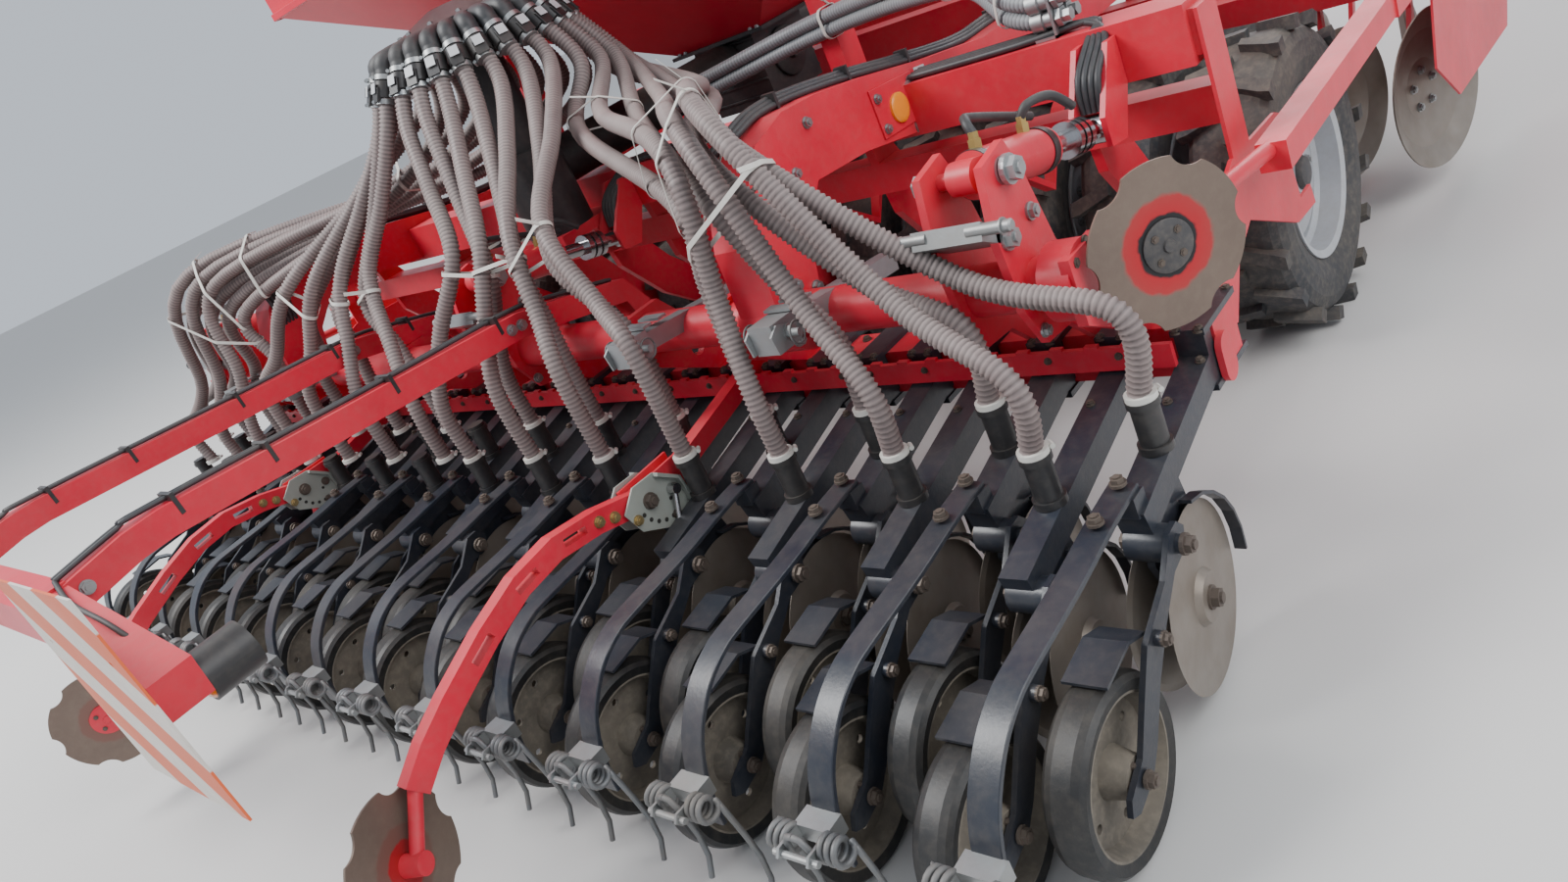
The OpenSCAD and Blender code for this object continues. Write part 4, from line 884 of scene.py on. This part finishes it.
# Lift cylinders: red barrels with a black gland and a black end ring, hard chrome rods, and
# two short black hydraulic hoses on brass fittings.
chrome = coat("chrome", (0.62, 0.62, 0.63), (0.55, 0.55, 0.56), (0.3, 0.25, 0.2), dust=0.12, chips=0.05,
              rough=0.18, metal=1.0, bump=0.02)
brass = coat("brass", (0.55, 0.38, 0.13), (0.42, 0.29, 0.1), (0.2, 0.13, 0.06), dust=0.25, chips=0.2,
             rough=0.35, metal=0.9)
finish(chrome, "lift_rods")
lift_low, lift_high = Vector((0, -1291, 961)), Vector((0, -796, 850))
lift_way = (lift_high - lift_low).normalized()
lift_up = Vector((0, -lift_way.z, lift_way.y))


def on_lift(x, along_axis, above_axis=0.0):
    place = lift_low + lift_way * along_axis + lift_up * above_axis
    return at(x, place.y, place.z)


def make_glands(bm):
    for x in lever_x:
        spun(bm, on_lift(x, 240), lift_way, [(0, 0.0445), (0.02, 0.0445), (0.026, 0.041), (0.034, 0.038)],
             sides=32)
        spun(bm, on_lift(x, 22), lift_way, [(0, 0.0435), (0.012, 0.0445), (0.022, 0.0435)], sides=32)


def make_fittings(bm):
    for x in lever_x:
        for reach in (48, 215):
            spun(bm, on_lift(x, reach, 40), lift_up,
                 [(0, 0.013), (0.018, 0.013), (0.018, 0.010), (0.030, 0.010)], sides=6)


solid("lift_glands", "lift_barrels", black_plastic, make_glands)
solid("lift_fittings", "lift_barrels", brass, make_fittings)


def hose_lines(x):
    """Two short hoses that lie on the barrel and go down to the cross tube."""
    lines = []
    for reach, shift in ((48, -14), (215, 14)):
        knots = [on_lift(x, reach, 66), on_lift(x + shift, reach + 8, 88),
                 on_lift(x + shift * 2.4, reach + 60, 92), on_lift(x + shift * 3.2, 330, 62)]
        lines.append(smooth_line(knots, 6))
    return lines


def rubber_lines(name, body, lines, radius, sides=10):
    """Black rubber hoses or cables."""
    along(name, pipe_tree, body, lines, black_rubber, "black_plastic", radius=radius, sides=sides)


rubber_lines("lift_hoses", "lift_barrels", [line for x in lever_x for line in hose_lines(x)], 0.009)

# Hydraulic lines and cables of the frame: a black bundle over the curved side beams, tied with
# narrow straps, and four lines over the rear cross tube to each of the three cylinders. A
# point of those is x, y and z of the first line, and the step to the next line in x and y.
beam_path = ((1345, 970), (1330, 1006), (1270, 1003), (600, 1000), (-120, 1000), (-320, 1004),
             (-560, 1042), (-800, 1087), (-1000, 1117), (-1120, 1124), (-1200, 1112))
cable_lines = []
for s in (1, -1):
    for k in range(5):
        low = 6 + 7 * (k % 3)
        y_shift, x_shift = 5 * (k % 2), 9 * (k // 3) + 7 * (k % 3)
        knots = [at(s * (1136 - x_shift), y + y_shift, z + low) for y, z in beam_path]
        knots += [at(s * 1082, -1235 - 14 * k, 1090), at(s * 1074, -1240 - 14 * k, 1020),
                  at(s * 1094, -1242 - 14 * k, 950)]
        cable_lines.append(smooth_line(knots, 5))
lift_lines = (
    ((1090, -655, 1029, -30, -16), (700, -655, 1029, 0, -16), (240, -655, 1030, 0, -16),
     (190, -700, 1010, -12, 0), (176, -780, 955, -16, 0), (168, -800, 885, -12, 0)),
    ((1210, -630, 1029, 0, -16), (1500, -630, 1029, 0, -16), (1640, -650, 1030, 8, 0),
     (1700, -700, 1006, -12, 0), (1706, -790, 952, -14, 0), (1698, -800, 885, -12, 0)),
    ((-1210, -630, 1029, 0, -16), (-1500, -630, 1029, 0, -16), (-1640, -650, 1030, -8, 0),
     (-1654, -700, 1006, 12, 0), (-1654, -790, 952, 14, 0), (-1694, -800, 885, 12, 0)))
for k in range(4):
    for points in lift_lines:
        cable_lines.append(smooth_line([at(x + k * dx, y + k * dy, z) for x, y, z, dx, dy in points], 5))
rubber_lines("frame_cables", "frame", cable_lines, 0.0075, sides=8)
tie_loop = ((-17, -4), (19, -4), (19, 32), (-17, 32))


def make_cable_ties(bm):
    for s in (1, -1):
        for y, z in ((900, 1000), (300, 1000), (-120, 1000), (-560, 1042), (-800, 1087), (-1060, 1122)):
            slab(bm, [at(s * (1125 + dx), y, z + dz) for dx, dz in tie_loop], (0, 0.008, 0.001))


solid("cable_ties", "frame", black_plastic, make_cable_ties)

# Lock arms: galvanised square tubes between side plates, with cross strips on top, held by a
# pin with a ring clip at each end.
zinc_dip = coat("zinc_dip", (0.36, 0.38, 0.39), (0.27, 0.285, 0.29), (0.22, 0.2, 0.18), dust=0.3,
                chips=0.35, rough=0.5, metal=0.7, bump=0.3)
finish(zinc_dip, "lock_arms", "hitch_shaft", "jack_leg")
finish(zinc_plate, "fan_impeller")
lock_y, lock_z = -1481, 800
lock_side = ((-1520, 774), (-1460, 770), (-1460, 812), (-1500, 826), (-1524, 812))
lock_x = (row_x(7) - row_pitch / 2, row_x(4) - row_pitch / 2)


def make_locks(bm):
    for s in (1, -1):
        for x in lock_x:
            spun(bm, at(s * (x - 46), lock_y, lock_z), (1, 0, 0), [(0, 0.008), (0.112, 0.008)], sides=16)
            for y, z in ((-1448, 829), (-1400, 826)):
                slab(bm, [at(s * (x - 34), y, z), at(s * (x + 34), y, z), at(s * (x + 34), y + 26, z - 1),
                          at(s * (x - 34), y + 26, z - 1)], (0, 0, 0.006))
            for d in (-1, 1):
                side_plate(bm, s * x + d * 31, lock_side, d * 5)


def ring_clip(x, y, z, r):
    """A sprung ring through the end of a pin, which lies round the pin's axis."""
    return [at(x + 4 * math.sin(a / 2), y + r * math.cos(a), z + r * math.sin(a)) for a in
            (math.radians(20 * k) for k in range(19))]


clip_lines = [ring_clip(s * x + d * 60, lock_y, lock_z, 22) for s in (1, -1) for x in lock_x
              for d in (-1, 1)]
solid("lock_plates", "coulters", zinc_dip, make_locks)
along("ring_clips", pipe_tree, "coulters", clip_lines, zinc_wire, "zinc", radius=0.0022, sides=8)
lock_spots = [(at(s * x + d * 36.5, lock_y + 5, lock_z), (d, 0, 0), 14)
              for s in (1, -1) for x in lock_x for d in (-1, 1)]
bolts("lock_bolts", "coulters", lock_spots, zinc_plate)

# Pre-emergence markers: slotted red arms between two grey-green plates with rows of small
# holes drawn as thin discs of painted shade, bolted through, each let down by a short red
# cylinder with a chrome rod.
bracket_paint = coat("bracket_paint", (0.34, 0.37, 0.33), (0.28, 0.3, 0.27), (0.2, 0.14, 0.09), dust=0.3,
                     chips=0.4, rough=0.45)
yellow_zinc = coat("yellow_zinc", (0.48, 0.37, 0.17), (0.36, 0.28, 0.13), (0.2, 0.12, 0.07), dust=0.3,
                   chips=0.35, rough=0.4, metal=0.8)
# Painted shade: the holes in the plates are thin near-black discs, not openings.
hole_dark = coat("hole_dark", (0.02, 0.02, 0.018), (0.012, 0.012, 0.011), (0.05, 0.04, 0.03), dust=0.1,
                 chips=0.1, rough=0.8)
emergence_x = 858
ram_x = emergence_x + 48
bracket_side = ((-1712, 528), (-1664, 566), (-1600, 562), (-1548, 520), (-1538, 440), (-1572, 418),
                (-1630, 436), (-1690, 470))
bracket_edge = ((-1600, 562), (-1548, 520), (-1538, 440), (-1546, 440), (-1556, 516), (-1604, 554))
for s, word in hands:

    def make_bracket(bm):
        for d in (1, -1):
            face = s * emergence_x + d * 27
            side_plate(bm, face, bracket_side, d * 5)
            side_plate(bm, face + d * 5, bracket_edge, d * 16)

    # Thin discs of painted shade where the plates have their rows of holes.
    def make_hole_shades(bm):
        for d in (1, -1):
            face = s * emergence_x + d * 32.2
            for k in range(5):
                a = math.radians(200 + 17 * k)
                spun(bm, at(face, -1600 + 74 * math.cos(a), 524 + 74 * math.sin(a)), (d, 0, 0),
                     [(0, 0.0052), (0.0004, 0.0052)], sides=14)
            for k in range(3):
                spun(bm, at(face, -1588 + 17 * k, 486 + 17 * k), (d, 0, 0),
                     [(0, 0.0046), (0.0004, 0.0046)], sides=14)

    def make_ram(bm):
        low, high = at(s * ram_x, -1640, 352), at(s * ram_x, -1604, 440)
        way = (high - low).normalized()
        spun(bm, low, way, [(0, 0.017), (0.075, 0.017), (0.078, 0.0145)], sides=20)

    def make_ram_rod(bm):
        low, high = at(s * ram_x, -1612, 420), at(s * ram_x, -1578, 505)
        way = (high - low).normalized()
        spun(bm, low, way, [(0, 0.006), ((high - low).length, 0.006)], sides=14)
        spun(bm, high - Vector((s * 0.014, 0, 0)), (s, 0, 0), [(0, 0.012), (0.022, 0.012)], sides=18)

    solid("emergence_plates_" + word, "coulters", bracket_paint, make_bracket, bevel=0.0008)
    solid("emergence_holes_" + word, "coulters", hole_dark, make_hole_shades)
    solid("emergence_ram_" + word, "coulters", red_paint, make_ram)
    solid("emergence_rod_" + word, "coulters", chrome, make_ram_rod)
    plate_spots = [(at(s * emergence_x + d * 33, y, z), (d, 0, 0), size) for d in (1, -1)
                   for y, z, size in ((-1640, 516, 17), (-1570, 500, 12), (-1592, 448, 10))]
    pin_spots = [(at(s * emergence_x + d * 33, -1690, 500), (d, 0, 0), 11) for d in (1, -1)]
    arm_spots = [(at(s * emergence_x + d * 17.5, y, z), (d, 0, 0), 12) for d in (1, -1)
                 for y, z in ((-1766, 552), (-1728, 536))]
    bolts("emergence_bolts_" + word, "coulters", plate_spots, rusty_steel)
    bolts("emergence_pins_" + word, "coulters", pin_spots, yellow_zinc)
    bolts("emergence_arm_bolts_" + word, "emergence_" + word, arm_spots, yellow_zinc)

# Marker discs: bare steel discs with rings of worn paint round a hub flange with four bolts,
# which is dark on the bout markers and red on the pre-emergence markers.


def disc_steel(name, centre, aim, radius, hub, hub_colour, ring_colour, rim_colour):
    """Steel with coloured rings round the disc's own axis."""
    material = coat(name, rim_colour, tuple(0.8 * c for c in rim_colour), (0.16, 0.12, 0.09), dust=0.3,
                    chips=0.3, rough=0.42, metal=0.4)
    tree = material.node_tree
    place = add_node(tree, "ShaderNodeTexCoord").outputs["Object"]
    shift = add_node(tree, "ShaderNodeVectorMath", (0, place), (1, centre), operation="SUBTRACT")
    cross = add_node(tree, "ShaderNodeVectorMath", (0, shift.outputs["Vector"]),
                     (1, Vector(aim).normalized()), operation="CROSS_PRODUCT")
    length = add_node(tree, "ShaderNodeVectorMath", (0, cross.outputs["Vector"]), operation="LENGTH")
    ragged = add_node(tree, "ShaderNodeTexNoise", ("Vector", place), ("Scale", 45.0))
    wobble = add_node(tree, "ShaderNodeMapRange", ("Value", ragged.outputs["Fac"]), ("To Min", -0.05),
                      ("To Max", 0.05))
    share = add_node(tree, "ShaderNodeMath", (0, length.outputs["Value"]), (1, 1 / radius),
                     (2, wobble.outputs["Result"]), operation="MULTIPLY_ADD")
    bands = add_node(tree, "ShaderNodeValToRGB", ("Fac", share.outputs["Value"]))
    stops = bands.color_ramp.elements
    stops[0].color = (*hub_colour, 1)
    stops[1].color = (*rim_colour, 0)
    for position, colour, cover in ((hub, hub_colour, 1), (hub + 0.03, ring_colour, 1),
                                    (hub + 0.19, ring_colour, 0.85), (hub + 0.25, rim_colour, 0)):
        stops.new(position).color = (*colour, cover)
    paint_over(material, bands.outputs["Alpha"], bands.outputs["Color"])
    return material


for s, word in hands:
    for name, centre, turned, hub, hub_colour, ring in (
            ("marker", (1950.5, -1215, 756), -37, 0.36, (0.02, 0.02, 0.022), (0.5, 0.02, 0.028)),
            ("emergence", (emergence_x, -2454, 291), 25, 0.3, (0.4, 0.02, 0.025), (0.2, 0.1, 0.08))):
        aim = Vector((s * math.cos(math.radians(turned)), math.sin(math.radians(turned)), 0))
        hub_at = at(s * centre[0], centre[1], centre[2])
        steel = disc_steel(f"{name}_steel_{word}", hub_at, aim, 0.145, hub, hub_colour, ring,
                           (0.2, 0.145, 0.115))
        finish(steel, f"{name}_disc_{word}")
        rear = -1 if name == "emergence" else 1
        face = hub_at + aim * (0.005 if rear > 0 else 0)
        spread = Vector((-aim.y, aim.x, 0))
        spots = []
        for k in range(4):
            a = math.radians(45 + 90 * k)
            place = face + spread * 0.03 * math.cos(a) + Vector((0, 0, 0.03 * math.sin(a)))
            spots.append((place, aim * rear, 8))
        bolts(f"{name}_disc_bolts_{word}", f"{name}_disc_{word}", spots, rusty_steel, slot="soil_steel")

        def make_flange(bm):
            spun(bm, face - aim * rear * 0.001, aim * rear,
                 [(0, 0.046), (0.004, 0.046), (0.005, 0.044), (0.006, 0.012), (0.010, 0.010)], sides=32)

        flange_paint = grease_cap if name == "marker" else red_paint
        solid(f"{name}_flange_{word}", f"{name}_disc_{word}", flange_paint, make_flange)

# Light carrier: red square tubes with two cables along each one, boards with orange and
# white reflecting stripes, and moulded lamps with amber and red lenses.
board_paint = coat("board_paint", (0.74, 0.68, 0.62), (0.68, 0.62, 0.56), (0.4, 0.3, 0.25), dust=0.3,
                   chips=0.1, rough=0.45)
board_tree = board_paint.node_tree
board_place = add_node(board_tree, "ShaderNodeTexCoord").outputs["Object"]
board_turn = add_node(board_tree, "ShaderNodeMapping", ("Vector", board_place),
                      ("Rotation", (0, math.radians(45), 0)))
board_wave = add_node(board_tree, "ShaderNodeTexWave", ("Vector", board_turn.outputs["Vector"]),
                      ("Scale", 1.7), wave_type="BANDS", bands_direction="X")
board_edge = add_node(board_tree, "ShaderNodeMapRange", ("Value", board_wave.outputs["Fac"]),
                      ("From Min", 0.48), ("From Max", 0.52))
paint_over(board_paint, board_edge.outputs["Result"], (0.72, 0.12, 0.03, 1))
finish(board_paint, "warning_boards")
finish(black_plastic, "lamps")
red_glass = coat("red_glass", (0.5, 0.01, 0.012), (0.38, 0.008, 0.01), (0.2, 0.03, 0.03), dust=0.15,
                 chips=0.0, rough=0.16)
carrier_x = row_x(10) - row_pitch / 2


def make_ambers(bm):
    for s in (1, -1):
        box(bm, (s * 700, -2617, 702), (s * 728, -2619, 758))
        spun(bm, at(s * 840, -2517, 800), (0, -1, 0),
             [(0, 0.040), (0.003, 0.040), (0.008, 0.034), (0.010, 0.02)], sides=32)


def make_reds(bm):
    for s in (1, -1):
        box(bm, (s * 624, -2617, 702), (s * 696, -2619, 758))


solid("lamp_ambers", "coulters", amber_glass, make_ambers)
solid("lamp_reds", "coulters", red_glass, make_reds)
arm_path = ((-1120, 838), (-1300, 887), (-1439, 917), (-1800, 946), (-2330, 990), (-2400, 988), (-2530, 970))
lamp_path = ((0, -2530, 968), (120, -2550, 950), (260, -2550, 925), (320, -2540, 880), (330, -2515, 845))
carrier_cables = []
for s in (1, -1):
    for shift in (-12, 4):
        carrier_cables.append(smooth_line([at(s * (carrier_x + shift), y, z) for y, z in arm_path], 5))
    carrier_cables.append(smooth_line([at(s * (carrier_x + x), y, z) for x, y, z in lamp_path], 6))
rubber_lines("carrier_cables", "coulters", carrier_cables, 0.005, sides=8)
clip_loop = ((-31.5, -38), (-31.5, 8), (31.5, 8), (31.5, -38))


def make_carrier_clips(bm):
    for s in (1, -1):
        for y, z in ((-1250, 875), (-1500, 923), (-1800, 946), (-2100, 970), (-2300, 987)):
            slab(bm, [at(s * carrier_x + d, y, z + up) for d, up in clip_loop], (0, 0.009, 0.001))


solid("carrier_ties", "coulters", black_plastic, make_carrier_clips)
carrier_spots = [(at(s * carrier_x + d * 30.5, y, z), (d, 0, 0), 13) for s in (1, -1) for d in (1, -1)
                 for y, z in ((-1082, 640), (-1082, 700), (-1439, 879), (-1470, 882), (-2500, 935))]
bolts("carrier_bolts", "coulters", carrier_spots, zinc_plate)

# Hopper: folded sheet sides with welded ribs, a rolled edge and bolts round the rim, and a
# lid with side strips and two grips, in a smoother coat of the same red.
hopper_paint = coat("hopper_paint", (0.74, 0.015, 0.045), (0.64, 0.011, 0.038), (0.1, 0.05, 0.04),
                    dust=0.12, chips=0.05, rough=0.28, bump=0.05)
finish(hopper_paint, "hopper", "hopper_lid", "fan_housing")
hopper_mid, half_x, half_y, hopper_knee = 230, 1250, 875, 1850
rib_top, rib_half, rib_out = 2248, 22, 18
grip_x = (-700, 700)


def make_hopper_ribs(bm):
    """Folded ribs up the sides and a rolled edge round the knee."""
    for s in (1, -1):
        wall = hopper_mid + s * half_y
        for x in (-900, -450, 0, 450, 900):
            box(bm, (x - rib_half, wall, hopper_knee), (x + rib_half, wall + s * rib_out, rib_top))
        for y in (-450, -150, 230, 610, 910):
            box(bm, (s * half_x, y - rib_half, hopper_knee), (s * (half_x + rib_out), y + rib_half, rib_top))
        box(bm, (s * half_x, hopper_mid - half_y, hopper_knee - 12),
            (s * (half_x + 12), hopper_mid + half_y, hopper_knee + 12))
        box(bm, (-half_x, wall, hopper_knee - 12), (half_x, wall + s * 12, hopper_knee + 12))


def make_lid_strips(bm):
    for s in (-1, 1):
        box(bm, (s * 1262, hopper_mid - 870, 2300.5), (s * 1270, hopper_mid + 870, 2330))


def make_grip_plates(bm):
    for x in grip_x:
        for d in (-60, 60):
            box(bm, (x + d - 12, -668, 2308), (x + d + 12, -664, 2326))


solid("hopper_ribs", "frame", hopper_paint, make_hopper_ribs, bevel=0.003)
solid("lid_ribs", "lid", hopper_paint, make_lid_strips, bevel=0.002)
solid("lid_grip_plates", "lid", zinc_plate, make_grip_plates)
grip_bend = ((-60, -665), (-58, -672), (-30, -676), (30, -676), (58, -672), (60, -665))
grip_lines = [smooth_line([at(x + d, y, 2317) for d, y in grip_bend], 3) for x in grip_x]
along("lid_grips", pipe_tree, "lid", grip_lines, black_paint, "black_paint", radius=0.006, sides=10)
rim_spots = [(at(x, hopper_mid + s * (half_y + 30.5), 2275), (0, s, 0), 9) for s in (-1, 1)
             for x in range(-1150, 1151, 230)]
rim_spots += [(at(s * (half_x + 30.5), y, 2275), (s, 0, 0), 9) for s in (-1, 1)
              for y in range(-580, 1041, 270)]
bolts("rim_bolts", "frame", rim_spots, zinc_plate)

# Fan: a red sheet housing with a wire guard over its inlet, screws round its rim and an oil
# motor with two black hoses.
fan_y, fan_z = 1850, 1240
guard_lines = [[at(114, y, z) for x, y, z in circle(0, fan_y, fan_z, r, 36)] for r in (30, 60, 90, 120, 150)]
for line in guard_lines:
    line.append(line[0])
for k in range(8):
    a = math.radians(45 * k + 10)
    guard_lines.append([at(117, fan_y + r * math.cos(a), fan_z + r * math.sin(a)) for r in (12, 80, 168)])
along("fan_guard", pipe_tree, "frame", guard_lines, zinc_wire, "zinc", radius=0.0028, sides=6)
fan_spots = [(at(s * 111, y, z), (s, 0, 0), 8) for s in (1, -1)
             for x, y, z in circle(0, fan_y, fan_z, 290, 16, 5)]
fan_spots += [(at(-180, y, z), (-1, 0, 0), 9) for x, y, z in circle(0, fan_y, fan_z, 36, 4, 45)]
bolts("fan_bolts", "frame", fan_spots, zinc_plate)
fan_bend = ((-150, 0, -46), (-152, 0, -110), (-146, 20, -240), (-120, 90, -360), (-96, 220, -410))
fan_lines = [smooth_line([at(x, fan_y + y + d, fan_z + z) for x, y, z in fan_bend], 6) for d in (-24, 24)]
rubber_lines("fan_hoses", "frame", fan_lines, 0.011)
seam_lines = [[at(s * 110, y, z) for x, y, z in circle(0, fan_y, fan_z, 300, 48)]
              + [at(s * 110, fan_y + 300, fan_z)] for s in (1, -1)]
along("fan_seams", pipe_tree, "frame", seam_lines, hopper_paint, "red_paint", radius=0.005, sides=8)

# Metering unit: moulded ribs, a round cover and a motor's end cap on the black housing, with
# small plated bolts.
meter_z = 1060


def make_meter_ribs(bm):
    for s in (1, -1):
        for z in (960, 1010, 1060, 1110, 1150):
            box(bm, (-140, hopper_mid + s * 140, z), (140, hopper_mid + s * 146, z + 8))
    spun(bm, at(140, hopper_mid, meter_z), (1, 0, 0),
         [(0, 0.085), (0.012, 0.085), (0.016, 0.078), (0.022, 0.03), (0.04, 0.028)], sides=40)
    spun(bm, at(-190, hopper_mid, meter_z), (-1, 0, 0),
         [(0, 0.06), (0.01, 0.06), (0.014, 0.055), (0.06, 0.05), (0.064, 0.044)], sides=40)


solid("metering_ribs", "frame", black_plastic, make_meter_ribs, bevel=0.0015)
meter_spots = [(at(x, hopper_mid + s * 155, 1181), (0, 0, 1), 8) for s in (1, -1)
               for x in (-190, -160, 160, 190)]
meter_spots += [(at(-191, y, z), (-1, 0, 0), 7) for x, y, z in circle(0, hopper_mid, meter_z, 78, 8)]
bolts("metering_bolts", "frame", meter_spots, zinc_plate)

# Drawbar and jack: bolted red yoke plates, five hydraulic lines along the top of the tube
# under flat clamps, and a cap, a pin and a crank on the parking jack.
yoke_y, yoke_z = 3130, 600
jack_x, jack_y = 150, 2500


def clamp_height(y):
    """Height of a line clamp on top of the drawbar tube, which falls towards the yoke."""
    return 952 - 260 * (y - 1500) / 1580


def make_yoke_plates(bm):
    for s in (1, -1):
        box(bm, (s * 160, yoke_y - 70, yoke_z - 70), (s * 166, yoke_y + 70, yoke_z + 70))
        spun(bm, at(s * 166, yoke_y - 10, yoke_z), (s, 0, 0), [(0, 0.048), (0.003, 0.048), (0.003, 0.03)],
             sides=40)
    for y in (1600, 2000, 2400, 2800):
        z = clamp_height(y)
        slab(bm, [at(x, y, z) for x in (-60, 60)] + [at(x, y + 40, z - 6.6) for x in (60, -60)],
             (0, 0, 0.006))


def make_jack_cap(bm):
    spun(bm, at(jack_x, jack_y, 800), (0, 0, 1),
         [(0, 0.05), (0.012, 0.05), (0.016, 0.045), (0.03, 0.014), (0.06, 0.012)], sides=32)
    spun(bm, at(jack_x - 44, jack_y, 452), (1, 0, 0), [(0, 0.008), (0.09, 0.008)], sides=12)


solid("yoke_plates", "frame", red_paint, make_yoke_plates, bevel=0.001)
solid("jack_cap", "frame", zinc_dip, make_jack_cap)
crank_bend = ((0, 855), (0, 872), (20, 880), (100, 880), (118, 888), (120, 905), (120, 980))
along("jack_crank", pipe_tree, "frame", [smooth_line([at(jack_x + d, jack_y, z) for d, z in crank_bend], 4)],
      zinc_wire, "zinc", radius=0.007, sides=10)
yoke_spots = [(at(s * 166.5, yoke_y + a, yoke_z + b), (s, 0, 0), 14) for s in (1, -1)
              for a, b in ((-54, -54), (54, -54), (54, 54), (-54, 54))]
yoke_spots += [(at(x, 1511, z), (0, 1, 0), 16) for x in (-130, 130) for z in (785, 955)]
bolts("yoke_bolts", "frame", yoke_spots, zinc_plate)
line_knots = [(1535, 905), (1570, 948), (2000, 876), (2400, 810), (2800, 744), (2990, 713), (3025, 665)]
drawbar_lines = [smooth_line([at(x, y, z + 8) for y, z in line_knots], 4) for x in (-45, -20, 5, 30, 52)]
rubber_lines("drawbar_lines", "frame", drawbar_lines, 0.009)

# Platform and steps: rows of raised round studs on the treads and on the platform's edges.


def make_treads(bm):
    for z in (524, 764, 1034):
        for k in range(9):
            for row in (0, 1):
                spun(bm, at(800 + 40 * k, 1512 + 46 * row, z), (0, 0, 1),
                     [(0, 0.012), (0.003, 0.009), (0.004, 0.006)], sides=14)
    for k in range(15):
        for y in (1180, 1215, 1475, 1505):
            spun(bm, at(-1128 + 150 * k, y, 1280), (0, 0, 1),
                 [(0, 0.010), (0.003, 0.008), (0.0035, 0.004)], sides=12)


solid("tread_studs", "frame", red_paint, make_treads)

# Light grey hoses of the fertiliser side: four ribbed hoses with white ties, from the rear air
# duct to a coupling plate at the right end of the rear cross tube.
grey_hose = coat("grey_hose", (0.34, 0.36, 0.38), (0.27, 0.285, 0.3), (0.42, 0.4, 0.36), dust=0.35,
                 chips=0.15, rough=0.45, bump=0.08, dust_colour=(0.36, 0.34, 0.31))
# Painted shade in the grooves between the grey hoses' ribs.
paint_groove_shade(grey_hose, 0.55)
grey_path = ((-60, -300, 1060), (240, -280, 1090), (640, -230, 1130), (1000, -300, 1150),
             (1290, -430, 1145), (1470, -590, 1078), (1560, -623, 1058))
grey_routes = []
for k in range(4):
    row, layer = k % 2, k // 2
    grey_routes.append(smooth_line([at(x, y - 34 * row, z + 38 * layer) for x, y, z in grey_path], 8))
along("grey_hoses", ribbed_tree, "frame", grey_routes, grey_hose, "hose", inner_radius=0.0155)


def make_grey_ties(bm):
    for k in (18, 30, 40):
        strap(bm, grey_routes, k)


solid("grey_hose_ties", "frame", tie_plastic, make_grey_ties)
coupling_x, foot_z = 1586, 1021


def make_couplings(bm):
    for route in grey_routes:
        spun(bm, route[-1] - Vector((0.022, 0, 0)), (1, 0, 0),
             [(0, 0.0225), (0.026, 0.0225), (0.028, 0.018), (0.05, 0.018)], sides=20)
        spun(bm, route[-1] + Vector((0.034, 0, 0)), (1, 0, 0),
             [(0, 0.021), (0.012, 0.021), (0.012, 0.014), (0.03, 0.014)], sides=6)
    box(bm, (coupling_x, -680, foot_z), (coupling_x + 6, -600, foot_z + 101))
    box(bm, (coupling_x - 46, -680, foot_z), (coupling_x + 6, -600, foot_z + 6))


solid("hose_couplings", "frame", zinc_plate, make_couplings)
